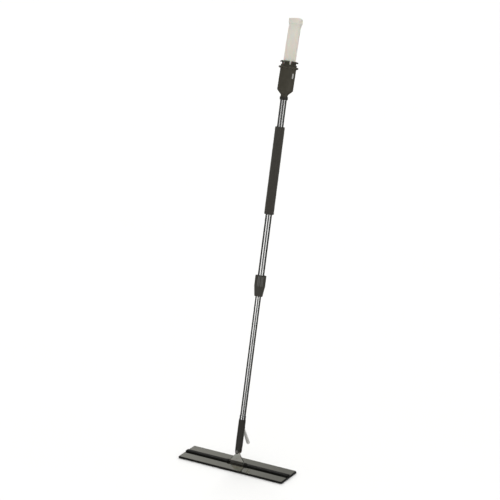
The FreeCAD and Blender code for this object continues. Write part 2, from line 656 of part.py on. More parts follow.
BOTTLE_WALL = 1.2
BASE_OFFSET = 2.3
BOTTLE_NECK = 15.0
MOUTH = 1294.0
CAP_BOTTOM = 1290.0
CAP_TOP = 1309.0
CAP_RADIUS = 18.0
NOSE_BOTTOM = 1279.0
NOSE_RADIUS = 8.0
VALVE_SEAT = 1292.0
CAGE_TOP = 1308.0


def ring_wire(radius, offset, height):
    return Part.Wire([Part.Circle(V(offset, 0, height), Z, radius).toShape()])


def bottle_volume(shrink):
    """The bottle's outside, or its inside when shrunk by the wall: neck, body and wider base."""
    neck = BOTTLE_NECK - shrink
    body = BOTTLE_RADIUS - shrink
    base = BOTTLE_BASE_RADIUS - shrink
    shoulder = BOTTLE_SHOULDER + shrink / 2
    lower = turned([(0, MOUTH), (neck, MOUTH), (neck, shoulder - 8), (body - 1.7, shoulder - 4.5, "arc"),
                    (body, shoulder), (body, BOTTLE_FLARE), (0, BOTTLE_FLARE)])
    rings = [ring_wire(body, 0, BOTTLE_FLARE), ring_wire(base, BASE_OFFSET, BOTTLE_BAND)]
    flare = Part.makeLoft(rings, True, True)
    crown = BOTTLE_TOP - shrink
    edge = 3.2
    turn = edge * (1 - math.sqrt(0.5))
    band = turned([(0, BOTTLE_BAND), (base, BOTTLE_BAND), (base, crown - 3 - edge),
                   (base - turn, crown - 3 - turn, "arc")] + dome(base - edge, crown - 3, crown))
    band.translate(V(BASE_OFFSET, 0, 0))
    return lower.multiFuse([flare, band])


def bottle_shell():
    mouth = rod(BOTTLE_NECK - BOTTLE_WALL, MOUTH - 1, MOUTH + 1)
    return bottle_volume(0).cut(bottle_volume(BOTTLE_WALL)).cut(mouth).removeSplitter()


def bottle_cap():
    """Screw cap with a nose: the valve seat is its inner floor."""
    body = turned([(4.5, NOSE_BOTTOM), (NOSE_RADIUS - 1, NOSE_BOTTOM), (NOSE_RADIUS, NOSE_BOTTOM + 1),
                   (NOSE_RADIUS, CAP_BOTTOM), (CAP_RADIUS - 1, CAP_BOTTOM), (CAP_RADIUS, CAP_BOTTOM + 1),
                   (CAP_RADIUS, CAP_TOP), (BOTTLE_NECK + SNUG, CAP_TOP), (BOTTLE_NECK + SNUG, VALVE_SEAT),
                   (4.5, VALVE_SEAT)])
    groove = Part.makeCylinder(0.6, CAP_TOP - CAP_BOTTOM + 2, V(CAP_RADIUS + 0.2, 0, CAP_BOTTOM + 2), Z)
    return body.cut(Part.makeCompound(spun(groove, 24)))


def valve_cage():
    """Cage pressed into the bottle's mouth, which guides the valve stem and backs the spring."""
    outer = BOTTLE_NECK - BOTTLE_WALL - SNUG
    skirt = tube(outer, outer - 1.4, VALVE_SEAT + SNUG, CAGE_TOP)
    lid = tube(outer - 1, 1.5 + RUNNING, CAGE_TOP - 2, CAGE_TOP)
    port = Part.makeCylinder(2.2, 6, V(9.2, 0, CAGE_TOP - 4), Z)
    return skirt.fuse(lid).cut(Part.makeCompound(spun(port, 6))).removeSplitter()


POPPET_DISC = (VALVE_SEAT + 0.3, VALVE_SEAT + 2.3)


def valve_poppet():
    """Valve disc with a foot over the fixed pin and a stem through the cage."""
    low, high = POPPET_DISC
    return turned([(0, PIN_TOP + 0.5), (2.2, PIN_TOP + 0.5), (2.2, low), (6.5, low), (6.5, high), (1.5, high),
                   (1.5, CAGE_TOP + 1.5), (0, CAGE_TOP + 1.5)])


def valve_spring():
    """Compression spring between the valve disc and the cage's lid."""
    wire, coil, turns = 0.4, 4.0, 5
    low = POPPET_DISC[1] + wire + 0.05
    high = CAGE_TOP - 2 - wire - 0.05
    path = Part.makeHelix((high - low) / turns, high - low, coil)
    path.translate(V(0, 0, low))
    first = path.Edges[0]
    start, heading = first.valueAt(first.FirstParameter), first.tangentAt(first.FirstParameter)
    section = Part.Wire([Part.Circle(start, heading, wire).toShape()])
    return Part.Wire(path.Edges).makePipeShell([section], True, True)


# ---- Every node, by the body that carries it -------------------------------------------
def mop_head_nodes():
    right_rail, right_cap = rail(), rail_cap()
    return {"base_board": base_board(), "foam_backing": foam_backing(),
            "hook_strip_front": hook_strip(-1), "hook_strip_middle": hook_strip(0),
            "hook_strip_rear": hook_strip(1), "hinge_bracket": hinge_bracket(),
            "rail_right": right_rail, "rail_left": mirrored(right_rail),
            "rail_cap_right": right_cap, "rail_cap_left": mirrored(right_cap),
            "rail_screws": Part.makeCompound(screw_set()), "hinge_pin": hinge_pin()}


def yoke_nodes():
    bush = yoke_bush()
    return {"yoke": on_pole(yoke()), "yoke_barrel": on_pole(yoke_barrel()),
            "yoke_bush_right": on_pole(bush), "yoke_bush_left": on_pole(mirrored(bush))}


def lower_pole_nodes():
    makers = (pole_socket, pivot_bolt, pivot_nut, pivot_washers, socket_screw, lower_tube, tube_ferrule,
              spout_fitting, outlet_spout, lower_solution_tube, seal_gland, gland_ring, guide_plug)
    return {maker.__name__: on_pole(maker()) for maker in makers}


def handle_nodes():
    makers = (upper_tube, lock_body, lock_collet, foam_grip, upper_solution_tube, neck_clamp)
    nodes = {maker.__name__: on_pole(maker()) for maker in makers}
    nodes["clamp_screws"] = on_pole(Part.makeCompound(clamp_screw_set()))
    nodes["bottle_cup"] = bottle_cup()
    nodes["valve_pin"] = on_cup(valve_pin())
    nodes["nose_seal"] = on_cup(nose_seal())
    window = sight_window()
    nodes["sight_window_right"] = on_cup(window)
    nodes["sight_window_left"] = on_cup(spun(window, 2)[1])
    return nodes


def bottle_nodes():
    makers = (finger_crown, bottle_shell, bottle_cap, valve_cage, valve_poppet, valve_spring)
    return {maker.__name__: on_cup(maker()) for maker in makers}


def main():
    os.makedirs("parts", exist_ok=True)
    nodes = {"twist_collar": on_pole(twist_collar())}
    for group in (mop_head_nodes, yoke_nodes, lower_pole_nodes, handle_nodes, bottle_nodes):
        nodes.update(group())
    for name, shape in sorted(nodes.items()):
        sound = shape.isValid() and all(solid.isClosed() for solid in shape.Solids)
        print(f"{name}: {len(shape.Solids)} solid(s), {shape.Volume:.0f} mm3, {'ok' if sound else 'BAD'}")
        shape.exportStep(f"parts/{name}.step")


main()
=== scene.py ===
"""Looks of the flat mop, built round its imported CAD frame.

Every piece is drawn upright in millimetres, in the board's, the pole's or the cup's own frame, and
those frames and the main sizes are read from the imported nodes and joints.
"""
import functools
import json
import math

import bmesh
import bpy
import numpy as np
from mathutils import Matrix, Vector, noise


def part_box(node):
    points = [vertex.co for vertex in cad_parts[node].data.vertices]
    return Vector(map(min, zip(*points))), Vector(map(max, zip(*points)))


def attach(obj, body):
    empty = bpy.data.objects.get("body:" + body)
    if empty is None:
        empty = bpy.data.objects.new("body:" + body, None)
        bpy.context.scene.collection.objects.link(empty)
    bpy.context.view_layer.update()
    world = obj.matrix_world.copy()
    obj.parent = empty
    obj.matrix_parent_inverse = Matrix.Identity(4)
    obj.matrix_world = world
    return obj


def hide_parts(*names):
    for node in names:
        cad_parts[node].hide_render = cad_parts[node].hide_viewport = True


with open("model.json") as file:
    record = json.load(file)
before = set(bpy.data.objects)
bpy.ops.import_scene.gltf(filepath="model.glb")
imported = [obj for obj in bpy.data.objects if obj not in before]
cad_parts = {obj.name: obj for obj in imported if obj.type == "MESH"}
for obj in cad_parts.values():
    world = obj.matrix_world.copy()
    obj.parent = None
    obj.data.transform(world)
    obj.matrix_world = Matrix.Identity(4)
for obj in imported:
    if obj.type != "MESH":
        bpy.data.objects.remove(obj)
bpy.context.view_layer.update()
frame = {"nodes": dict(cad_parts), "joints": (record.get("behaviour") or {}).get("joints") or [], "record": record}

MM = 0.001
MICRON = 1e-6
X, Z = Vector((1, 0, 0)), Vector((0, 0, 1))
TO_FRONT = Matrix.Rotation(math.pi / 2, 4, "X")
JOINTS = {joint["name"]: joint for joint in frame["joints"]}


# ---- Frames and sizes read from the CAD ----
def upright(origin, axis):
    """Matrix from millimetres about an upright axis to the row frame's metres."""
    up = Vector(axis).normalized()
    turn = Matrix((X, up.cross(X), up)).transposed().to_4x4()
    return Matrix.Translation(origin) @ turn @ Matrix.Scale(MM, 4)


def points_of(node, place):
    """A CAD node's vertices in that frame's millimetres."""
    mesh = frame["nodes"][node].data
    points = np.zeros(len(mesh.vertices) * 3)
    mesh.vertices.foreach_get("co", points)
    inverse = np.array(place.inverted())
    return points.reshape(-1, 3) @ inverse[:3, :3].T + inverse[:3, 3]


def extent(node, place):
    """Lowest and highest corner of a CAD node in that frame's millimetres."""
    points = points_of(node, place)
    return Vector(points.min(0)), Vector(points.max(0))


BOARD = Matrix.Scale(MM, 4)
POLE = upright(JOINTS["head_tilt"]["pos_m"], JOINTS["telescope"]["axis"])
seal_low, seal_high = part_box("nose_seal")
CUP = upright((seal_low + seal_high) / 2, JOINTS["bottle_lift"]["axis"])
SWIVEL = (POLE.inverted() @ Vector(JOINTS["handle_swivel"]["pos_m"])).z


# ---- Outlines ----
def rounded(points, steps=6, closed=True):
    """An outline whose corners given as (x, y, radius) are turned into arcs."""
    outline = []
    count = len(points)
    for index, point in enumerate(points):
        here = Vector(point[:2])
        inner = closed or 0 < index < count - 1
        if len(point) < 3 or not inner:
            outline.append(here)
            continue
        before = Vector(points[index - 1][:2]) - here
        after = Vector(points[(index + 1) % count][:2]) - here
        half = before.angle(after) / 2
        reach = min(point[2] / math.tan(half), 0.49 * before.length, 0.49 * after.length)
        radius = reach * math.tan(half)
        centre = here + (before.normalized() + after.normalized()).normalized() * radius / math.sin(half)
        start = here + before.normalized() * reach - centre
        finish = here + after.normalized() * reach - centre
        sweep = start.angle_signed(finish)
        for step in range(steps + 1):
            turn = Matrix.Rotation(-sweep * step / steps, 2)
            outline.append(centre + turn @ start)
    return outline


def inset(outline, depth):
    """A closed anticlockwise outline moved inwards, with mitred corners."""
    moved = []
    for index, here in enumerate(outline):
        before = (here - outline[index - 1]).normalized()
        after = (outline[(index + 1) % len(outline)] - here).normalized()
        normal_a, normal_b = Vector((-before.y, before.x)), Vector((-after.y, after.x))
        bisector = (normal_a + normal_b).normalized()
        moved.append(here + bisector * depth / max(0.3, bisector.dot(normal_a)))
    return moved


def rectangle(length, width, corner, steps=8):
    """A rounded rectangle about the origin, anticlockwise."""
    a, b = length / 2, width / 2
    return rounded([(a, -b, corner), (a, b, corner), (-a, b, corner), (-a, -b, corner)], steps)


def arch(low, high, radius, steps=5):
    """(inset, height) levels of a slab whose lower and upper edges are rounded."""
    levels = []
    for step in range(steps + 1):
        angle = math.pi / 2 * step / steps
        levels.append((radius * (1 - math.sin(angle)), low + radius * (1 - math.cos(angle))))
    return levels + [(depth, high + low - height) for depth, height in reversed(levels)]


def share_of(value, start, end):
    """How far value has come from start to end, kept between 0 and 1."""
    return min(1.0, max(0.0, (value - start) / (end - start)))


def eased(value, start, end):
    """0 before start, 1 after end, and a smooth rise between them."""
    share = share_of(value, start, end)
    return share * share * (3 - 2 * share)


# ---- Solids ----
def shell(rings, closed):
    """A bmesh through rings of points. A ring may be one point; closed joins last to first."""
    bm = bmesh.new()
    rows = [[bm.verts.new(point) for point in ring] for ring in rings]
    pairs = list(zip(rows, rows[1:] + rows[:1])) if closed else list(zip(rows, rows[1:]))
    for low, high in pairs:
        around = max(len(low), len(high))
        for index in range(around):
            following = (index + 1) % around
            corners = [low[index % len(low)], low[following % len(low)],
                       high[following % len(high)], high[index % len(high)]]
            bm.faces.new(list(dict.fromkeys(corners)))
    if not closed:
        for row, flip in ((rows[0], True), (rows[-1], False)):
            if len(row) > 2:
                bm.faces.new(list(reversed(row)) if flip else row)
    bmesh.ops.recalc_face_normals(bm, faces=bm.faces)
    return bm


def turned(outline, segments=96, shape=None, middle=None):
    """A body of revolution from (radius, height) points. shape(angle, radius, height) may alter
    the radius, and middle(height) may move a ring's centre."""
    rings = []
    for radius, height in outline:
        centre = middle(height) if middle else Vector((0, 0, 0))
        if radius < 1e-6:
            rings.append([centre + Z * height])
            continue
        ring = []
        for index in range(segments):
            angle = math.tau * index / segments
            reach = shape(angle, radius, height) if shape else radius
            ring.append(centre + Vector((reach * math.cos(angle), reach * math.sin(angle), height)))
        rings.append(ring)
    return shell(rings, closed=len(rings[0]) > 1 and len(rings[-1]) > 1)


def stacked(outline, levels):
    """A solid whose section is the outline, inset by each level's depth at its height."""
    rings = [[Vector((p.x, p.y, height)) for p in inset(outline, depth)] for depth, height in levels]
    return shell(rings, closed=False)


def aimed(start, end):
    """Matrix that moves the origin to start and turns +Z towards end."""
    turn = (end - start).to_track_quat("Z", "Y").to_matrix().to_4x4()
    return Matrix.Translation(start) @ turn


def bar(radius, start, end, end_radius=None, segments=32, edge=0.0):
    """A round bar between two points, with its ends rounded over by edge."""
    start, end = Vector(start), Vector(end)
    length = (end - start).length
    last = radius if end_radius is None else end_radius
    corner = (edge,) if edge else ()
    outline = rounded([(0, 0), (radius, 0, *corner), (last, length, *corner), (0, length)], 4, closed=False)
    bm = turned(outline, segments)
    bm.transform(aimed(start, end))
    return bm


def slab(low, high, edge=0.0):
    """A box between two corners, with rounded edges if edge is given."""
    bm = bmesh.new()
    bmesh.ops.create_cube(bm, size=1.0)
    low, high = Vector(low), Vector(high)
    size = high - low
    bm.transform(Matrix.Translation((low + high) / 2) @ Matrix.Diagonal((*size, 1)))
    if edge:
        bmesh.ops.bevel(bm, geom=bm.edges[:], offset=edge, segments=3, profile=0.5, affect="EDGES")
    return bm


def join(*solids):
    """One bmesh that holds all of these closed solids."""
    whole = bmesh.new()
    for solid in solids:
        mesh = bpy.data.meshes.new("part")
        solid.to_mesh(mesh)
        solid.free()
        whole.from_mesh(mesh)
        bpy.data.meshes.remove(mesh)
    return whole


def linked(name, data):
    """A new object of the scene that holds this data."""
    obj = bpy.data.objects.new(name, data)
    bpy.context.scene.collection.objects.link(obj)
    return obj


def placed(name, bm):
    """A new object of the scene with this mesh."""
    mesh = bpy.data.meshes.new(name)
    bm.to_mesh(mesh)
    bm.free()
    return linked(name, mesh)


def settled(obj, others=()):
    """The object's mesh with its modifiers applied, as a bmesh; the temporary objects go."""
    graph = bpy.context.evaluated_depsgraph_get()
    bm = bmesh.new()
    bm.from_object(obj, graph)
    for gone in (obj, *others):
        mesh = gone.data
        bpy.data.objects.remove(gone)
        bpy.data.meshes.remove(mesh)
    return bm


def cut(bm, *cutters):
    """The solid with each cutter's volume taken away."""
    obj = placed("scratch", bm)
    tools = [placed("scratch", cutter) for cutter in cutters]
    for tool in tools:
        step = obj.modifiers.new("cut", "BOOLEAN")
        step.operation, step.solver, step.object = "DIFFERENCE", "EXACT", tool
    return settled(obj, tools)


def moulded(bm, voxel, cutters=(), smooth=4, keep=0.5):
    """Overlapping solids run together into one moulding, cut, and softened at every edge."""
    for stage in range(2 if cutters else 1):
        if stage:
            bm = cut(bm, *cutters)
        obj = placed("scratch", bm)
        remesh = obj.modifiers.new("remesh", "REMESH")
        remesh.mode, remesh.voxel_size = "VOXEL", voxel
        bm = settled(obj)
    obj = placed("scratch", bm)
    soften = obj.modifiers.new("soften", "SMOOTH")
    soften.factor, soften.iterations = 0.5, smooth
    thin = obj.modifiers.new("thin", "DECIMATE")
    thin.ratio = keep
    return settled(obj)


# ---- Materials ----
def add_node(tree, kind, **settings):
    """A new node with these properties set."""
    node = tree.nodes.new(kind)
    for key, value in settings.items():
        setattr(node, key, value)
    return node


def maths(tree, operation, *values, clamp=False):
    """The result of a Math node on numbers and other nodes' results."""
    node = add_node(tree, "ShaderNodeMath", operation=operation, use_clamp=clamp)
    for socket, value in zip(node.inputs, values):
        if isinstance(value, (int, float)):
            socket.default_value = value
        else:
            tree.links.new(value, socket)
    return node.outputs[0]


class Surface:
    """A node material on one Principled shader, textured in the object's own metres."""

    def __init__(self, name, roughness, turn=0.0, stretch=(1, 1, 1), **sockets):
        self.material = bpy.data.materials.new(name)
        self.material.use_nodes = True
        self.tree = self.material.node_tree
        self.shader = self.tree.nodes["Principled BSDF"]
        for socket, value in {"Roughness": roughness, **sockets}.items():
            self.shader.inputs[socket.replace("_", " ")].default_value = value
        self.even = self.add("ShaderNodeTexCoord").outputs["Object"]
        mapping = self.add("ShaderNodeMapping", vector_type="TEXTURE")
        mapping.inputs["Rotation"].default_value = (-math.radians(turn), 0, 0)
        mapping.inputs["Scale"].default_value = stretch
        self.link(self.even, mapping.inputs["Vector"])
        self.drawn = mapping.outputs["Vector"]

    def add(self, kind, **settings):
        return add_node(self.tree, kind, **settings)

    def link(self, source, target):
        self.tree.links.new(source, target)

    def grain(self, scale, detail=3.0, rough=0.5, free=False):
        """Noise from 0 to 1. free takes it from unstretched coordinates."""
        node = self.add("ShaderNodeTexNoise")
        node.inputs["Scale"].default_value = scale
        node.inputs["Detail"].default_value = detail
        node.inputs["Roughness"].default_value = rough
        self.link(self.even if free else self.drawn, node.inputs["Vector"])
        return node.outputs["Fac"]

    def cells(self, scale):
        """Distance to the nearest of scattered points, 0 in the middle of each cell."""
        node = self.add("ShaderNodeTexVoronoi", feature="F1")
        node.inputs["Scale"].default_value = scale
        self.link(self.drawn, node.inputs["Vector"])
        return node.outputs["Distance"]

    def ranged(self, value, low, high, start=0.0, end=1.0):
        """A value that goes from low to high as the given one goes from start to end."""
        node = self.add("ShaderNodeMapRange")
        self.link(value, node.inputs["Value"])
        for key, number in (("From Min", start), ("From Max", end), ("To Min", low), ("To Max", high)):
            node.inputs[key].default_value = number
        return node.outputs["Result"]

    def by_height(self, low, high, start, end):
        """A value that goes from low to high between two heights above the floor, in metres."""
        split = self.add("ShaderNodeSeparateXYZ")
        self.link(self.even, split.inputs[0])
        return self.ranged(split.outputs["Z"], low, high, start, end)

    def colours(self, value, *stops):
        """A colour ramp of (position, linear RGB) stops into Base Color."""
        ramp = self.add("ShaderNodeValToRGB")
        elements = ramp.color_ramp.elements
        while len(elements) < len(stops):
            elements.new(0.5)
        for element, (position, colour) in zip(elements, stops):
            element.position = position
            element.color = (*colour, 1)
        self.link(value, ramp.inputs["Fac"])
        self.link(ramp.outputs["Color"], self.shader.inputs["Base Color"])

    def tint(self, value, colour, spread):
        """Base Color that wanders by a share either side of one colour."""
        dark = [channel * (1 - spread) for channel in colour]
        light = [channel * (1 + spread) for channel in colour]
        self.colours(value, (0.3, dark), (0.7, light))

    def roughen(self, value, low, high):
        """Roughness that wanders between low and high."""
        self.link(self.ranged(value, low, high, 0.3, 0.7), self.shader.inputs["Roughness"])

    def bump(self, *layers):
        """Bump from (value, depth in thousandths of a millimetre) layers, one after another."""
        normal = None
        for value, depth in layers:
            node = self.add("ShaderNodeBump")
            node.inputs["Strength"].default_value = 1.0
            node.inputs["Distance"].default_value = depth * MICRON
            self.link(value, node.inputs["Height"])
            if normal:
                self.link(normal, node.inputs["Normal"])
            normal = node.outputs["Normal"]
        self.link(normal, self.shader.inputs["Normal"])


LEAN = math.degrees(math.atan2(POLE[1][2], POLE[2][2]))
# The rest of grain's arguments, for noise that isn't drawn out along the metal
EVEN = (3.0, 0.5, True)
# Heights above the floor, in metres, between which a moulding's colour changes
# Painted shade: below these heights the black mouldings go deeper black, by the board
BOARD_SHADE_HEIGHTS = (0.0118, 0.0145)
WEB_SHADE = (0.034, 0.042)
# Painted shade: above these heights the yoke goes near black, round the swivel knuckle
KNUCKLE_SHADE_HEIGHTS = (0.0435, 0.0475)
PATCH_SHARE = 0.2


def black_moulding():
    """Satin black nylon with a fine spark-eroded texture: dull above, with painted shade that makes it deeper
    black low down by the board.
    """
    plastic = Surface("black_moulding", 0.42, Specular_IOR_Level=0.28)
    patches = plastic.grain(45, 5.0, 0.65)
    base_black, painted_shade_black = (0.029, 0.0275, 0.023), (0.006, 0.0056, 0.0046)
    # Painted shade: deeper black low down, by the board
    level = plastic.by_height(0.0, 0.8, *BOARD_SHADE_HEIGHTS)
    mixed = maths(plastic.tree, "MULTIPLY_ADD", patches, PATCH_SHARE, level)
    plastic.colours(mixed, (0.08, painted_shade_black), (0.9, base_black))
    plastic.roughen(patches, 0.34, 0.52)
    plastic.bump((plastic.grain(2800, 2.0), 20), (plastic.grain(180), 30))
    return plastic.material


def foam(name, colour, cell):
    """Closed-cell foam: pits of the given size in metres, a soft skin and slight mottling."""
    sponge = Surface(name, 0.78, Sheen_Weight=0.05, Sheen_Roughness=0.5, Specular_IOR_Level=0.15)
    pits = sponge.ranged(sponge.cells(1 / cell), 0.0, 1.0, 0.12, 0.55)
    sponge.tint(sponge.grain(260, 6.0, 0.7), colour, 0.22)
    sponge.roughen(sponge.grain(90), 0.68, 0.88)
    sponge.bump((sponge.grain(70, 3.0), 500), (pits, 250), (sponge.grain(3000), 40))
    return sponge.material


def hook_tape():
    """Woven nylon tape: fine ribs across and along it."""
    tape = Surface("hook_tape", 0.7, Sheen_Weight=0.3, Sheen_Roughness=0.4)
    weave = tape.add("ShaderNodeTexWave", wave_type="BANDS", bands_direction="DIAGONAL")
    weave.inputs["Scale"].default_value = 700
    weave.inputs["Distortion"].default_value = 1.5
    tape.link(tape.drawn, weave.inputs["Vector"])
    tape.colours(weave.outputs["Fac"], (0.2, (0.012, 0.012, 0.012)), (0.8, (0.035, 0.035, 0.034)))
    tape.roughen(tape.grain(400), 0.6, 0.85)
    tape.bump((weave.outputs["Fac"], 100), (tape.grain(1500), 50))
    return tape.material


def grey_moulding():
    """Light grey, slightly translucent yoke plastic, with painted shade: darker low on the web and near black
    round the swivel bolt.
    """
    plastic = Surface("grey_moulding", 0.3, Subsurface_Weight=0.12, Subsurface_Scale=0.004)
    patches = plastic.grain(60, 4.0)
    knuckle_shade, shaded, base_grey = (0.02, 0.019, 0.016), (0.25, 0.247, 0.218), (0.62, 0.61, 0.56)
    rise = plastic.by_height(0.15, 0.95, *WEB_SHADE)
    # Painted shade: near black round the swivel knuckle and darker low on the web
    level = maths(plastic.tree, "SUBTRACT", rise, plastic.by_height(0.0, 1.0, *KNUCKLE_SHADE_HEIGHTS))
    mixed = maths(plastic.tree, "MULTIPLY_ADD", patches, PATCH_SHARE, level)
    plastic.colours(mixed, (0.06, knuckle_shade), (0.17, shaded), (0.97, base_grey))
    plastic.roughen(patches, 0.24, 0.40)
    plastic.bump((plastic.grain(2400, 2.0), 15), (plastic.grain(150), 20))
    return plastic.material


def plain(name, roughness, colour, spread, cloud, wear, low, high, *bumps, **sockets):
    """A material with three sorts of noise, each given as grain's arguments: cloud tints it, wear
    moves its roughness from low to high, and bumps are (noise, depth) pairs."""
    surface = Surface(name, roughness, **sockets)
    surface.tint(surface.grain(*cloud), colour, spread)
    surface.roughen(surface.grain(*wear), low, high)
    surface.bump(*[(surface.grain(*noise_of), depth) for noise_of, depth in bumps])
    return surface.material


def steel(name, colour, low, high):
    """Zinc-plated or satin steel with turning marks."""
    middle, marks = (low + high) / 2, (900, 5.0, 0.7)
    return plain(name, middle, colour, 0.12, (220, 4.0), marks, low, high, (marks, 10), Metallic=1.0)


def plastic(name, colour, low, high):
    """Natural or coloured moulding of the small inner pieces."""
    middle, patches = (low + high) / 2, (180, 4.0)
    return plain(name, middle, colour, 0.07, patches, patches, low, high, ((2500,), 10))


MATERIALS = {
    # Drawn and polished aluminium, with fine lines along the tube
    "tube_metal": plain("tube_metal", 0.16, (0.80, 0.80, 0.785), 0.035, (9, *EVEN), (2600, 4.0), 0.12, 0.24,
                        ((2600, 4.0), 12), ((60, *EVEN), 20), Metallic=1.0, turn=LEAN,
                        stretch=(1, 1, 80), Anisotropic=0.35),
    # Grey anodised extrusion with a glossy skin and faint lines along the board
    "board_metal": plain("board_metal", 0.12, (0.46, 0.452, 0.39), 0.05, (14, *EVEN), (1500, 4.0), 0.06, 0.14,
                         ((1500, 4.0), 8), ((30, *EVEN), 30), Metallic=1.0, stretch=(50, 1, 1),
                         Coat_Weight=0.35, Coat_Roughness=0.06),
    "black_moulding": black_moulding(),
    # Glossy, slightly smoked
    "cup_moulding": plain("cup_moulding", 0.1, (0.052, 0.048, 0.037), 0.12, (35, 4.0), (120, 4.0),
                          0.07, 0.13, ((60,), 10), ((2200,), 3)),
    # Dark grey satin
    "collar_moulding": plain("collar_moulding", 0.18, (0.047, 0.045, 0.039), 0.08, (70, 5.0, 0.6),
                             (70, 5.0, 0.6), 0.14, 0.22, ((2500, 2.0), 8), Specular_IOR_Level=0.7),
    "grip_foam": foam("grip_foam", (0.043, 0.040, 0.034), 0.0009),
    "backing_foam": foam("backing_foam", (0.0075, 0.0072, 0.006), 0.0007),
    "hook_tape": hook_tape(),
    "grey_moulding": grey_moulding(),
    "pivot_cap": steel("pivot_cap", (0.62, 0.61, 0.59), 0.42, 0.56),
    "steel": steel("steel", (0.26, 0.26, 0.25), 0.32, 0.48),
    "bright_ring": steel("bright_ring", (0.86, 0.86, 0.85), 0.04, 0.10),
    # Clear vinyl, a little milky
    "clear_plastic": plain("clear_plastic", 0.12, (0.78, 0.775, 0.75), 0.04, (90, 4.0), (240,),
                           0.08, 0.2, ((120,), 40), Transmission_Weight=0.55, IOR=1.45),
    "line_plastic": plastic("line_plastic", (0.62, 0.62, 0.58), 0.25, 0.4),
    # Milky blow-moulded polyethylene
    "bottle_plastic": plain("bottle_plastic", 0.33, (0.675, 0.588, 0.525), 0.03, (22, 3.0), (160, 4.0),
                            0.27, 0.42, ((28, 2.0), 400), ((1800,), 12), Specular_IOR_Level=0.4,
                            Subsurface_Weight=0.35, Subsurface_Scale=0.008),
    "seal_rubber": plastic("seal_rubber", (0.018, 0.018, 0.018), 0.55, 0.75),
    "valve_plastic": plastic("valve_plastic", (0.58, 0.58, 0.55), 0.3, 0.48),
}


def finish(name, bm, place, body, slot, *hides, sharp=None):
    """A finished piece in the row frame, riding on its body in place of the CAD nodes it hides."""
    bm.transform(place)
    obj = placed(name, bm)
    obj.data.materials.append(MATERIALS[slot])
    obj.data.shade_smooth()
    if sharp:
        obj.data.set_sharp_from_angle(angle=math.radians(sharp))
    obj.modifiers.new("normals", "WEIGHTED_NORMAL").keep_sharp = True
    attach(obj, body)
    if hides:
        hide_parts(*hides)
    return obj


# ---- Mop head ----
def make_board():
    """The extruded plate, let into the rim of its foam layer."""
    low, high = extent("base_board", BOARD)
    length, width = high.x - low.x, high.y - low.y
    plate = stacked(rectangle(length, width, 3.0, 8), arch(low.z, high.z, 0.4, 4))
    finish("board", plate, BOARD, "mop_head", "board_metal", "base_board", sharp=40)


def make_foam_backing():
    """Foam layer under the board, splayed at its foot and turned up round the board's edge."""
    low, high = extent("foam_backing", BOARD)
    plate_low, plate_high = extent("base_board", BOARD)
    outline = rectangle(high.x - low.x, high.y - low.y, 5.0, 10)
    rim = high.x - plate_high.x - 0.02
    foot = [(-0.8, low.z), (-1.4, low.z + 0.5), (-1.5, low.z + 1.4), (-1.0, low.z + 2.6)]
    edge = [(0.1, high.z - 1.2), (0.35, high.z - 0.4), (0.8, high.z), (rim - 0.2, high.z)]
    tray = [(rim, high.z - 0.2), (rim, plate_low.z + 0.02)]
    layer = stacked(outline, foot + edge + tray)
    obj = finish("foam_layer", layer, BOARD, "mop_head", "backing_foam", "foam_backing", sharp=50)


HOOK_PITCH = 2.4
HOOK_HALF = 0.16


def hook(bm, place, lean, depth, root):
    """One bent nylon hook, hanging from the tape's underside."""
    half = HOOK_HALF
    rows = []
    for drop, shift in ((0.0, 0.0), (0.55 * depth, 0.05), (depth, 0.28), (0.72 * depth, 0.52)):
        centre = place + Vector((lean * shift, 0, -drop)) + Vector((0, 0, root))
        rows.append([bm.verts.new(centre + Vector((dx, dy, 0))) for dx, dy in
                     ((-half, -half), (half, -half), (half, half), (-half, half))])
    for low, high in zip(rows, rows[1:]):
        for index in range(4):
            bm.faces.new((low[index], low[(index + 1) % 4], high[(index + 1) % 4], high[index]))
    bm.faces.new(rows[0])
    bm.faces.new(rows[-1])


def make_hook_strip(name):
    """Tape with woven edges and rows of small hooks below it."""
    low, high = extent(name, BOARD)
    thickness = high.z - low.z
    depth = 0.55 * thickness
    tape_low = low.z + depth
    length, width = high.x - low.x, high.y - low.y
    tape = stacked(rectangle(length, width, 4.0, 5), arch(tape_low, high.z, 0.2, 3))
    middle = (low.y + high.y) / 2
    tape.transform(Matrix.Translation((0, middle, 0)))
    hooks = bmesh.new()
    end_margin, side_margin = 8, 4
    columns = int((length - end_margin) / HOOK_PITCH)
    rows = int((width - side_margin) / HOOK_PITCH)
    for row in range(rows):
        for column in range(columns):
            x = (column - (columns - 1) / 2) * HOOK_PITCH
            y = middle + (row - (rows - 1) / 2) * HOOK_PITCH
            hook(hooks, Vector((x, y, 0)), 1 if row % 2 else -1, depth, tape_low)
    bmesh.ops.recalc_face_normals(hooks, faces=hooks.faces)
    finish(name + "_tape", join(tape, hooks), BOARD, "mop_head", "hook_tape", name, sharp=40)


def along_x(bm):
    """A stacked solid, turned so that its stacking axis runs along X and its outline lies in Y, Z."""
    bm.transform(Matrix(((0, 0, 1, 0), (1, 0, 0, 0), (0, 1, 0, 0), (0, 0, 0, 1))))
    return bm


def rail_section(half, low, high):
    """The rail's section in Y, Z: flat foot flange, shallow side groove and rounded top."""
    inner = half - 0.8
    side = [(half, low, 0.3), (half, low + 1.3, 0.4), (inner, low + 1.8, 0.3), (inner, high, 2.2)]
    return rounded(side + [(-y, z, corner) for y, z, corner in reversed(side)], 5)


def make_rail(side):
    name = f"rail_{side}"
    low, high = extent(name, BOARD)
    section = rail_section(high.y, low.z, high.z)
    body = along_x(stacked(section, arch(low.x, high.x, 0.3, 3)))
    finish(name + "_moulding", body, BOARD, "mop_head", "black_moulding", name, sharp=35)


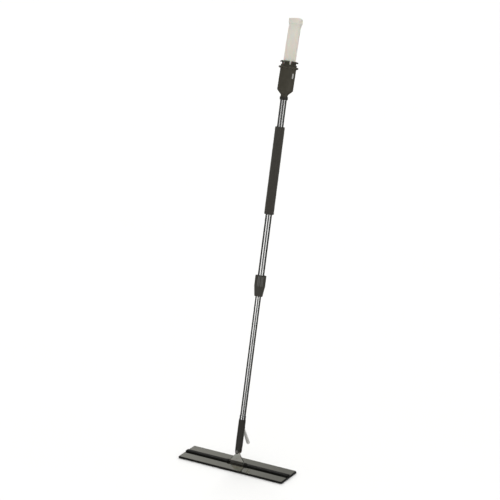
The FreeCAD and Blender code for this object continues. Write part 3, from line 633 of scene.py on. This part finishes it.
def make_rail_cap(side):
    """End plug: a rounded head with a finger groove, on the spigot that holds it in the rail."""
    name = f"rail_cap_{side}"
    low, high = extent(name, BOARD)
    half, outward = high.y, 1 if side == "right" else -1
    face, inner = (high.x, low.x) if outward > 0 else (low.x, high.x)
    root, groove_end, ledge = face - outward * 3.9, face - outward * 0.6, low.z + 2.2
    corners = [(half, low.z, 0.4), (half, high.z, 2.3), (-half, high.z, 2.3), (-half, low.z, 0.4)]
    head = along_x(stacked(rounded(corners, 6), arch(min(face, root), max(face, root), 1.0, 5)))
    groove = slab((min(face, groove_end), 3.0 - half, ledge),
                  (max(face + outward, groove_end), half - 3.0, ledge + 0.9))
    spigot = slab((min(inner, root), -4.0, low.z + 1.0), (max(inner, root), 4.0, low.z + 3.4), 0.3)
    plug = join(cut(head, groove), spigot)
    finish(name + "_plug", plug, BOARD, "mop_head", "black_moulding", name, sharp=35)


def make_bracket():
    """Hinge bracket: a low open frame in the board's finish, and two lugs with bosses round the pin."""
    low, high = extent("hinge_bracket", BOARD)
    pin_z = JOINTS["head_tilt"]["pos_m"][2] / MM
    boss, half, lug, overlap = high.z - pin_z, high.y, 8.0, 0.5
    solids, rails = [], []
    for side in (-1, 1):
        near, far = sorted((side * 5.0, side * half))
        reach = high.x - lug + overlap
        rails.append(slab((-reach, near, low.z), (reach, far, low.z + 1.2), 0.3))
        start, end = sorted((side * high.x, side * (high.x - lug)))
        section = rounded([(half, low.z), (half, pin_z, 2.5), (-half, pin_z, 2.5), (-half, low.z)], 5)
        solids.append(along_x(stacked(section, [(0, start), (0, end)])))
        solids.append(bar(boss, (start, 0, pin_z), (end, 0, pin_z), segments=40))
    bore = bar(2.05, (low.x - 1, 0, pin_z), (high.x + 1, 0, pin_z), segments=40)
    body = moulded(join(*solids), 0.3, [bore], smooth=2, keep=0.45)
    finish("bracket", body, BOARD, "mop_head", "black_moulding", "hinge_bracket")
    finish("bracket_frame", join(*rails), BOARD, "mop_head", "board_metal", sharp=40)


def make_hinge_pin():
    low, high = extent("hinge_pin", BOARD)
    middle = (low.z + high.z) / 2
    pin = bar(high.y, (low.x, 0, middle), (high.x, 0, middle), segments=48, edge=0.6)
    finish("pin", pin, BOARD, "mop_head", "steel", "hinge_pin")


# ---- Yoke and socket ----
def make_yoke():
    """The web with its knuckle, a black bead round its sides that is partly moulding and partly painted shade on
    those edges, and the barrel below it.
    """
    barrel_high = extent("yoke_barrel", POLE)[1]
    high = extent("yoke", POLE)[1]
    half, barrel, knuckle = barrel_high.x, barrel_high.z, high.z - SWIVEL
    web_half, knuckle_half, apex, bolt_bore, bush_bore = 2.0, 4, SWIVEL - 4, 3.1, 3.1
    side = [(high.x, barrel - 1.0), (13.5, 20.0), (knuckle - 3.2, apex)]
    outline = [Vector((x, z)) for x, z in side] + [Vector((-x, z)) for x, z in reversed(side)]
    web = stacked(outline, [(0, -web_half), (0, web_half)])
    web.transform(TO_FRONT)
    solids = [web, bar(knuckle, (0, -knuckle_half, SWIVEL), (0, knuckle_half, SWIVEL), segments=48),
              bar(2.2, (0, 0, barrel), (0, 0, apex), 2.1, 20)]
    cutters = [bar(barrel + 0.1, (-half - 9, 0, 0), (half + 9, 0, 0), segments=64),
               bar(bolt_bore, (0, -6, SWIVEL), (0, 6, SWIVEL), segments=40)]
    body = moulded(join(*solids), 0.34, cutters, smooth=3, keep=0.4)
    finish("yoke_moulding", body, POLE, "yoke", "grey_moulding", "yoke")

    # Painted shade: a black bead along the web's sloping edges darkens them, besides being a moulded edge
    beads = []
    edge_line = [(side[0][0] - 0.6, barrel + 1.5), side[1], side[2]]
    for turn in (-1, 1):
        corners = [Vector((turn * x, 0, z)) for x, z in edge_line]
        for start, end in zip(corners, corners[1:]):
            beads.append(bar(1.4, start, end, segments=24, edge=0.9))
    rim = moulded(join(*beads), 0.25, smooth=2, keep=0.5)
    finish("yoke_bead_and_edge_shade", rim, POLE, "yoke", "black_moulding")

    sleeve = bar(barrel, (-half, 0, 0), (half, 0, 0), segments=64, edge=0.5)
    bores = [bar(2.5, (-half - 1, 0, 0), (half + 1, 0, 0), segments=40)]
    for turn in (-1, 1):
        bores.append(bar(bush_bore, (turn * (half + 1), 0, 0), (turn * (half - 12), 0, 0), segments=40))
    finish("barrel", cut(sleeve, *bores), POLE, "yoke", "collar_moulding", "yoke_barrel", sharp=35)


def spout_line():
    """The spout's tip, root and outer radius in the pole's frame, from its CAD node."""
    points = points_of("outlet_spout", POLE)
    centre = points.mean(0)
    axis = Vector(np.linalg.svd(points - centre)[2][0])
    if axis.z > 0:
        axis.negate()
    along = (points - centre) @ np.array(axis)
    low, high = extent("outlet_spout", POLE)
    radius = (high.x - low.x) / 2
    middle = Vector(centre)
    return middle + axis * along.max(), middle + axis * along.min(), radius


def make_socket():
    """Moulded socket: the fork over the yoke's knuckle, the spout's port and a rounded mouth."""
    low, high = extent("pole_socket", POLE)
    radius, bottom, top = high.x, low.z, high.z
    gap, ear, neck, spare, slot_top = 5.2, 8.2, 66.0, 9, SWIVEL + 10.5
    outline = rounded([(0, bottom - 4), (radius, bottom - 4), (radius, top, 1.2), (0, top)], 5, closed=False)
    trunk = turned(outline, 72)
    wedge = [(radius + 0.01, neck), (radius + spare, neck), (radius + spare, bottom - spare),
             (0, bottom - spare), (0, bottom)]
    quarter = [math.pi / 2 * step / 8 for step in range(1, 9)]
    arc = [(ear * math.sin(a), SWIVEL - ear * math.cos(a)) for a in quarter]
    cutters = []
    for side in (-1, 1):
        ring = [Vector((side * x, z)) for x, z in wedge + arc]
        solid = stacked(ring[::-1] if side > 0 else ring, [(0, -20), (0, 20)])
        solid.transform(TO_FRONT)
        cutters.append(solid)
    tip, root, spout = spout_line()
    heading = (tip - root).normalized()
    exit_point = root + heading * (radius + 2.5 - abs(root.y)) / abs(heading.y)
    boss = bar(spout + 2.0, root + heading * 6, exit_point, segments=40)
    cutters += [slab((-30, -gap, bottom - 10), (30, gap, slot_top)),
                bar(9.8, (0, 0, 60), (0, 0, top + 2), segments=64),
                bar(spout + 0.05, root, tip, segments=40),
                bar(3.05, (0, -20, SWIVEL), (0, 20, SWIVEL), segments=40)]
    for side in (-1, 1):
        cutters.append(bar(7.7, (0, side * 11, SWIVEL), (0, side * 20, SWIVEL), segments=48))
    body = moulded(join(trunk, boss), 0.36, cutters, smooth=3, keep=0.35)
    finish("socket", body, POLE, "lower_pole", "black_moulding", "pole_socket")


def make_pivot():
    """Domed bolt on the front ear, hexagon nut on the rear one."""
    low, high = extent("pivot_bolt", POLE)
    radius, face, rim = high.x, -11.0, 1.2
    rise = face - low.y
    angles = [math.pi / 2 * step / 10 for step in range(2, 10)]
    dome = [(radius * math.cos(a), rim + (rise - rim) * math.sin(a)) for a in angles] + [(0, rise)]
    cap = turned(rounded([(0, 0), (radius, 0, 0.3), (radius, rim, 0.6)] + dome, 4, closed=False), 64)
    cap.transform(Matrix.Translation((0, face, SWIVEL)) @ TO_FRONT)
    shank = bar(3.0, (0, face - 0.5, SWIVEL), (0, high.y, SWIVEL), segments=40, edge=0.5)
    finish("bolt", join(cap, shank), POLE, "lower_pole", "pivot_cap", "pivot_bolt", sharp=50)

    low, high = extent("pivot_nut", POLE)
    apothem, corner, height = 5.0, 5.9, high.y - low.y

    def hexagon(angle, radius, level):
        flat = apothem / math.cos((angle + math.pi / 6) % (math.pi / 3) - math.pi / 6)
        return radius if radius < 4 else min(flat, radius)

    below = [(3.05, 0.4), (3.4, 0), (5.2, 0), (corner, 0.5)]
    above = [(radius, height - level) for radius, level in reversed(below)]
    nut = turned(below + above, 120, hexagon)
    nut.transform(Matrix.Translation((0, high.y, SWIVEL)) @ TO_FRONT)
    finish("nut", nut, POLE, "lower_pole", "steel", "pivot_nut", sharp=30)


def pan_head(radius, height):
    """A pan head with a cross recess, its seat at 0 and its top up +Z."""
    outline = [(0, 0), (radius, 0, 0.1), (radius, height, 0.6 * height), (0, height)]
    head = turned(rounded(outline, 5, closed=False), 48)
    arm, half, floor = 0.6 * radius, 0.3, height - 0.55 * height
    return cut(head, slab((-arm, -half, floor), (arm, half, height + 1)),
               slab((-half, -arm, floor), (half, arm, height + 1)))


def make_socket_screw():
    """Pan-head screw through the socket's wall into the lower tube."""
    low, high = extent("socket_screw", POLE)
    middle, head_height = (low.z + high.z) / 2, 2.2
    head = pan_head((high.z - low.z) / 2, head_height)
    seat = low.x + head_height
    head.transform(Matrix.Translation((seat, 0, middle)) @ Matrix.Rotation(-math.pi / 2, 4, "Y"))
    shank = bar(1.7, (seat - 0.5, 0, middle), (high.x, 0, middle), segments=24, edge=0.4)
    finish("tube_screw", join(head, shank), POLE, "lower_pole", "steel", "socket_screw", sharp=40)


def make_spout():
    """Clear tube: drawn straight, belled towards its rounded lip."""
    tip, root, radius = spout_line()
    tip.y -= math.copysign(1.2, tip.y)
    length = (tip - root).length
    bore, bell, bend = radius - 1.5, 1.3, 9.0
    bell_start, bell_end = 0.35 * length, 0.8 * length
    outside = [(radius, 0, 0.3), (radius, bell_start, bend), (radius + bell, bell_end, bend),
               (radius + bell, length, 0.9)]
    inside = [(bore + bell, length, 0.5), (bore + bell, bell_end, bend), (bore, bell_start, bend)]
    body = turned(rounded([(bore, 0, 0.3)] + outside + inside, 5), 48)
    body.transform(aimed(root, tip))
    finish("spout", body, POLE, "lower_pole", "clear_plastic", "outlet_spout")


# ---- Tubes, twist lock and grip ----
TUBE_WALL = 0.9


def make_tube(node, body, wall, *passages):
    """A drawn tube, with any passages cut through its wall."""
    low, high = extent(node, POLE)
    radius, bore = high.x, high.x - wall
    wall_section = [(bore, low.z, 0.2), (radius, low.z, 0.3), (radius, high.z, 0.3), (bore, high.z, 0.2)]
    tube = turned(rounded(wall_section, 3), 96)
    if passages:
        tube = cut(tube, *passages)
    finish(node.replace("_tube", "_pole"), tube, POLE, body, "tube_metal", node, sharp=40)


def make_ferrule():
    """Bright ring at the socket's mouth, with a groove round it."""
    low, high = extent("tube_ferrule", POLE)
    inner, outer, groove, base = 9.8, high.x, high.x - 0.7, low.z
    outline = rounded([(inner, base), (outer, base, 0.5), (outer, base + 6.2, 0.8), (groove, base + 6.6, 0.3),
                       (groove, base + 7.6, 0.3), (outer, base + 8.0, 0.8), (outer, high.z, 1.0),
                       (inner, high.z)], 5)
    finish("ferrule", turned(outline, 96), POLE, "lower_pole", "bright_ring", "tube_ferrule")


def make_lock():
    """Lock body's sleeve and the fluted twist collar."""
    low, high = extent("lock_body", POLE)
    bore, ledge, ledge_low, ledge_high = 11.05, 10.15, 597, 600
    outline = rounded([(bore, low.z, 0.2), (high.x, low.z, 0.4), (high.x, high.z, 0.5), (bore, high.z, 0.2),
                       (bore, ledge_high), (ledge, ledge_high), (ledge, ledge_low), (bore, ledge_low)], 4)
    sleeve = turned(outline, 72)
    finish("lock_sleeve", sleeve, POLE, "handle", "black_moulding", "lock_body", sharp=40)

    low, high = extent("twist_collar", POLE)
    radius, bottom, top = high.x, low.z, high.z
    shoulder, foot = (bottom + top) / 2, radius - 4.75
    mouth, chamber, seat = 10.1, 12.95, bottom + 3
    flutes, flute_depth, flute_radius = 12, 0.6, 13.2
    taper = [(foot + (radius - foot) * t, bottom + (shoulder - bottom) * t) for t in (0.15, 0.4, 0.65, 0.85)]
    straight = [(radius, shoulder + (top - shoulder) * t) for t in (0.15, 0.4, 0.65, 0.9)]
    outside = [(mouth, bottom, 0.4), (foot, bottom, 1.0)] + taper + [(radius, shoulder, 9.0)] + straight
    inside = [(radius, top, 1.4), (chamber, top, 0.6), (chamber, seat), (mouth, seat)]

    def fluted(angle, reach, height):
        if reach < flute_radius:
            return reach
        share = share_of(height, bottom + 7, bottom + 29) * share_of(height, top - 2.2, top - 4.7)
        wave = 0.5 - 0.5 * math.cos(flutes * angle)
        return reach - flute_depth * share * (1 - (1 - wave) ** 0.45)

    collar = turned(rounded(outside + inside, 6), 288, fluted)
    finish("twist_lock", collar, POLE, "lock_collar", "collar_moulding", "twist_collar", sharp=60)


def make_grip():
    """Foam sleeve with rounded ends and a surface that is never quite true."""
    low, high = extent("foam_grip", POLE)
    radius, bore, steps = high.x - 0.12, 11.05, 90
    side = [(radius, low.z + 3 + (high.z - low.z - 6) * step / steps) for step in range(1, steps)]
    section = [(bore, low.z), (radius, low.z, 3.0)] + side + [(radius, high.z, 3.0), (bore, high.z)]

    def uneven(angle, reach, height):
        if reach < bore + 0.5:
            return reach
        spot = Vector((math.cos(angle) * 2.2, math.sin(angle) * 2.2, height * 0.05))
        fine = Vector((math.cos(angle) * 9, math.sin(angle) * 9, height * 0.5))
        return reach + 0.10 * noise.noise(spot) + 0.04 * noise.noise(fine)

    obj = finish("grip", turned(rounded(section, 8), 128, uneven), POLE, "handle", "grip_foam", "foam_grip")


# ---- Dosing cup ----
def bend_between(low, high):
    """A function that carries points from the pole's frame into the cup's over a height range."""
    to_cup = CUP.inverted() @ POLE
    rise = (to_cup @ Vector((0, 0, high))).z - high

    def carry(point):
        on_cup = point + Z * rise
        return (to_cup @ point).lerp(on_cup, eased(point.z, low, high))
    return carry


def make_neck_clamp():
    """Ring that clamps the cup's sleeve on the tube, and a screw through each of its two tabs."""
    low, high = extent("neck_clamp", POLE)
    bore, sleeve, radius, seat = 11.06, 13.05, 13.9, low.z + 1.5
    outline = rounded([(bore, low.z), (radius, low.z), (radius, high.z), (sleeve, high.z), (sleeve, seat),
                       (bore, seat)], 1)
    solids, screws = [turned(outline, 96)], []
    middle, half, offset = (low.z + high.z) / 2, 4, 15.4
    for side in (-1, 1):
        near, far = sorted((side * 13.3, side * high.y))
        solids.append(slab((-half, near, low.z + 1), (half, far, high.z - 1)))
        head = pan_head(1.9, 1.0)
        seated = Matrix.Translation((-half - 0.1, side * offset, middle))
        head.transform(seated @ Matrix.Rotation(-math.pi / 2, 4, "Y"))
        shank = bar(1.2, (-4.2, side * offset, middle), (4.4, side * offset, middle), segments=20, edge=0.3)
        screws += [head, shank]
    body = moulded(join(*solids), 0.28, smooth=2, keep=0.4)
    finish("clamp_ring", body, POLE, "handle", "black_moulding", "neck_clamp")
    finish("clamp_screw_pair", join(*screws), POLE, "handle", "steel", "clamp_screws", sharp=40)


def make_cup():
    """The cup: sleeve on the tube, cone, straight wall with sight slots, rolled lip and collar."""
    high = extent("bottle_cup", CUP)[1]
    neck_low = extent("bottle_cup", POLE)[0].z
    rise = (POLE.inverted() @ CUP).translation.z
    tube, sleeve, neck, radius, lip_radius = 11.06, 12.95, 11.8, 26.9, high.x + 1.3
    bore, pocket, seat, passage, spigot = radius - 2.5, 15.0, 11.6, 2.0, 4.1
    ledge = extent("nose_seal", CUP)[0].z
    floor = ledge - 6.5
    cone, wall_foot = floor - 8.0, floor + 7.5
    lip, rim = high.z - 11.5, high.z - 2.2
    hem = extent("neck_clamp", POLE)[1].z - rise + 0.5
    tube_top = extent("upper_tube", POLE)[1].z - rise + 0.05
    base = neck_low - rise + 0.3
    outside = [(tube, base), (sleeve, base, 0.5), (sleeve, hem, 0.5), (neck, hem + 1.2, 0.5),
               (neck, cone, 3.0), (radius, wall_foot, 3.5), (radius, lip - 5.0, 2.5),
               (lip_radius, lip - 2.7, 1.3), (lip_radius, lip + 2.3, 1.8), (radius + 0.2, lip + 3.4, 0.6),
               (radius + 0.2, rim, 0.9)]
    inside = [(bore, rim, 0.6), (bore, wall_foot + 6.5, 2.0), (pocket, wall_foot + 4.5, 0.5), (pocket, ledge),
              (seat, ledge), (seat, floor), (passage, floor), (passage, cone - 0.1), (spigot, cone - 0.1),
              (spigot, tube_top), (tube, tube_top)]
    bent = turned(rounded(outside + inside, 8), 128)
    carry = bend_between(neck_low + 3, cone + rise)
    for vertex in bent.verts:
        vertex.co = carry(vertex.co + Z * rise)

    window_low, window_high = extent("sight_window_right", CUP)
    centre = (window_low + window_high) / 2
    half = 3.55
    height = window_high.z - window_low.z + 0.1
    slot = along_x(stacked(rectangle(2 * half, height, half, 10), [(0, -40), (0, 40)]))
    facing = Matrix.Rotation(math.atan2(centre.y, centre.x), 4, "Z")
    slot.transform(Matrix.Translation((0, 0, centre.z)) @ facing)
    finish("cup", cut(bent, slot), CUP, "handle", "cup_moulding", "bottle_cup", sharp=38)


def make_crown():
    """Six broad sprung fingers on a ring, each with an outward hook and softened sides."""
    low, high = extent("finger_crown", CUP)
    bore, stem, lip, top = 21.2, 24.0, high.x, high.z - 2.0
    fingers, gap, first_gap = 6, 6.2, math.radians(-52.0)
    split, edge, steps = low.z + 13, 0.9, 26
    ring = [(bore, low.z, 0.4), (stem, low.z, 0.5), (stem, split, 0.3), (bore, split, 0.3)]
    solids = [turned(rounded(ring, 3), 128)]
    inner, slim, root, hook_low = bore + 0.08, stem - 0.08, split - 2.0, top - 5.7
    section = rounded([(inner, root), (slim, root), (slim, hook_low, 0.6), (lip, hook_low + 0.1, 1.0),
                       (lip, hook_low + 2.3, 1.0), (lip - 4.6, top, 1.0), (bore + 3.4, top, 0.5),
                       (bore + 2.8, top - 3.0, 3.0), (inner, top - 11.0, 4.0)], 4)
    pitch = math.tau / fingers
    half = pitch / 2 - gap / 2 / stem
    for index in range(fingers):
        middle = first_gap + pitch * (index + 0.5)
        rings = []
        for step in range(steps + 1):
            angle = half * math.sin((step / steps * 2 - 1) * math.pi / 2)
            from_side = (half - abs(angle)) * stem
            depth = edge - math.sqrt(max(0.0, edge ** 2 - max(0.0, edge - from_side) ** 2))
            around = middle + angle
            rings.append([Vector((p.x * math.cos(around), p.x * math.sin(around), p.y))
                          for p in inset(section, depth)])
        solids.append(shell(rings, closed=False))
    finish("crown", join(*solids), CUP, "dose_head", "cup_moulding", "finger_crown", sharp=42)


# The bottle's wide base: the direction of its higher side, its tilt, and the slope of its bevel
BASE_SIDE = math.radians(30.7)
BASE_TILT = math.radians(5.2)
BEVEL_ACROSS, BEVEL_UP = 0.41, 0.912


def make_bottle():
    """Blow-moulded bottle, standing on its mouth: neck, shoulder, body, and a wide, tilted base
    with a bevel at its higher side."""
    low, high = extent("bottle_shell", CUP)
    neck, body, base, wall = 15.0, 20.7, 23.7, 1.2
    offset = (high.x + low.x) / 2 - 1.5
    shoulder, flare, band, crown = low.z + 28.0, high.z - 32.0, high.z - 16.0, high.z + 1.5

    def side(shrink):
        straight = body - shrink
        run = [(neck - shrink, low.z), (neck - shrink, shoulder - 8, 1.5),
               (straight - 0.6, shoulder - 4, 3.0), (straight, shoulder + 2, 4.0)]
        run += [(straight, shoulder + 2 + (flare - shoulder - 4) * step / 24) for step in range(1, 24)]
        run += [(straight, flare, 9.0), (base - 2.4 - shrink, band - 4, 3.0), (base - shrink, band, 2.0),
                (base - shrink, crown - shrink, 1.4), (0, crown - shrink)]
        return rounded(run, 8, closed=False)

    def shift(height):
        return Vector((offset * eased(height, flare, band), 0, 0))

    def seam(angle, reach, height):
        ridge = 0.16 * math.exp(-(math.sin(angle) / 0.03) ** 2)
        waver = 0.10 * noise.noise(Vector((math.cos(angle), math.sin(angle), height * 0.03)) * 1.6)
        return reach if height < shoulder - 6 else reach - 0.16 + ridge + waver

    whole = turned(side(wall)[::-1] + side(0.0), 128, seam, shift)
    across = Vector((math.cos(BASE_SIDE), math.sin(BASE_SIDE), 0))
    middle = Vector((offset, 0, band + 10))
    bevel = across * BEVEL_ACROSS + Z * BEVEL_UP
    reach = bevel.dot(Vector((offset, 0, crown)) + across * 13.0)
    for vertex in whole.verts:
        share = eased(vertex.co.z, flare, band)
        if not share:
            continue
        over = bevel.dot(vertex.co) - reach
        if over > 0:
            vertex.co -= bevel * over
        turn = Matrix.Rotation(BASE_TILT * share, 3, across.cross(Z))
        vertex.co = middle + turn @ (vertex.co - middle)
    finish("bottle", whole, CUP, "bottle", "bottle_plastic", "bottle_shell")


# ---- Build ----
def build():
    make_board()
    make_foam_backing()
    for place in ("front", "middle", "rear"):
        make_hook_strip(f"hook_strip_{place}")
    for side in ("left", "right"):
        make_rail(side)
        make_rail_cap(side)
    make_bracket()
    make_hinge_pin()
    make_yoke()
    make_socket()
    make_pivot()
    make_socket_screw()
    make_spout()
    make_tube("upper_tube", "handle", TUBE_WALL)
    tip, root, radius = spout_line()
    make_tube("lower_tube", "lower_pole", TUBE_WALL, bar(radius + 0.1, root, tip, segments=40))
    make_ferrule()
    make_lock()
    make_grip()
    make_neck_clamp()
    make_cup()
    make_crown()
    make_bottle()
    for entry in frame["record"]["subparts"]:
        mesh = frame["nodes"][entry["node"]].data
        mesh.materials.clear()
        mesh.materials.append(MATERIALS[entry["material_slot"]])


# ---- Studio ----
CAMERA_PLACE = (3.105, -5.134, 2.783)
CAMERA_AZIMUTH = 30.73
CAMERA_PITCH = 18.49
LENS = 138.3
SHIFT = -0.0006
FLOOR_HALF = 40.0
FLOOR_LEVEL = -0.0002


def make_camera():
    data = bpy.data.cameras.new("camera")
    data.lens, data.sensor_width, data.shift_x = LENS, 36.0, SHIFT
    data.clip_start, data.clip_end = 0.1, 200.0
    camera = linked("camera", data)
    camera.location = CAMERA_PLACE
    camera.rotation_euler = (math.radians(90 - CAMERA_PITCH), 0, math.radians(CAMERA_AZIMUTH))
    bpy.context.scene.camera = camera


def make_floor():
    bm = bmesh.new()
    bmesh.ops.create_grid(bm, x_segments=1, y_segments=1, size=FLOOR_HALF)
    bm.transform(Matrix.Translation((0, 0, FLOOR_LEVEL)))
    floor = placed("floor", bm)
    paper = Surface("floor_paper", 0.9, Specular_IOR_Level=0.0)
    paper.tint(paper.grain(2.0), (0.645, 0.645, 0.64), 0.004)
    floor.data.materials.append(paper.material)
    floor.visible_glossy = False


# Softboxes seen in reflections: azimuth from the camera's side, half width, brightness, and the
# lowest and highest elevation, all in degrees but the brightness.
SOFTBOXES = (
    (38, 19, 1.90, -7, 5.7),
    (-43, 19, 2.00, 0, 13.5),
    (0, 16, 0.11, -1, 11),
    (20, 10, 1.90, 13, 40),
    (200, 27.3, 0.45, 4, 60),
)
SOFT_EDGE = 9.0
SOFT_END = 4.6
SURROUND = 0.045
EVEN_LIGHT = 1.15


def make_world():
    """Even white light for the surfaces, and soft vertical boxes on dark walls for reflections."""
    world = bpy.data.worlds.new("studio")
    bpy.context.scene.world = world
    world.use_nodes = True
    tree = world.node_tree
    tree.nodes.clear()
    add, result = functools.partial(add_node, tree), functools.partial(maths, tree)

    split = add("ShaderNodeSeparateXYZ")
    tree.links.new(add("ShaderNodeTexCoord").outputs["Generated"], split.inputs[0])
    azimuth = result("ARCTAN2", split.outputs["Y"], split.outputs["X"])
    elevation = result("ARCSINE", split.outputs["Z"])
    to_camera = math.atan2(CAMERA_PLACE[1], CAMERA_PLACE[0])
    soft, soft_end = math.radians(SOFT_EDGE), math.radians(SOFT_END)
    total = SURROUND
    for centre, half, bright, low, high in SOFTBOXES:
        turn = result("SUBTRACT", azimuth, to_camera + math.radians(centre))
        off = result("ABSOLUTE", result("WRAP", turn, math.pi, -math.pi))
        across = result("DIVIDE", result("SUBTRACT", math.radians(half), off), soft, clamp=True)
        above = result("DIVIDE", result("SUBTRACT", elevation, math.radians(low)), soft_end, clamp=True)
        below = result("DIVIDE", result("SUBTRACT", math.radians(high), elevation), soft_end, clamp=True)
        box = result("MULTIPLY", result("MULTIPLY", across, above), result("MULTIPLY", below, bright))
        total = result("ADD", box, total)

    boxes = add("ShaderNodeBackground")
    tree.links.new(total, boxes.inputs["Strength"])
    even = add("ShaderNodeBackground")
    even.inputs["Color"].default_value = (1.0, 0.998, 0.99, 1)
    even.inputs["Strength"].default_value = EVEN_LIGHT
    mix = add("ShaderNodeMixShader")
    tree.links.new(add("ShaderNodeLightPath").outputs["Is Glossy Ray"], mix.inputs["Fac"])
    tree.links.new(even.outputs[0], mix.inputs[1])
    tree.links.new(boxes.outputs[0], mix.inputs[2])
    tree.links.new(mix.outputs[0], add("ShaderNodeOutputWorld").inputs["Surface"])


# The back light: its height above the horizon, its breadth and its strength
BACK_LIGHT = math.radians(22)
BACK_BREADTH = math.radians(50)
BACK_POWER = 3.6


def make_back_light():
    """A wide, low light behind the mop, which draws its soft shadow on the floor towards the camera."""
    data = bpy.data.lights.new("back_light", "SUN")
    data.energy, data.angle = BACK_POWER, BACK_BREADTH
    light = linked("back_light", data)
    towards = Vector((CAMERA_PLACE[0], CAMERA_PLACE[1], 0)).normalized()
    heading = towards * math.cos(BACK_LIGHT) - Z * math.sin(BACK_LIGHT)
    light.rotation_euler = heading.to_track_quat("-Z", "Y").to_euler()
    light.visible_glossy = light.visible_transmission = False


build()
make_camera()
make_floor()
make_world()
make_back_light()
bpy.context.scene.view_settings.view_transform = "Standard"
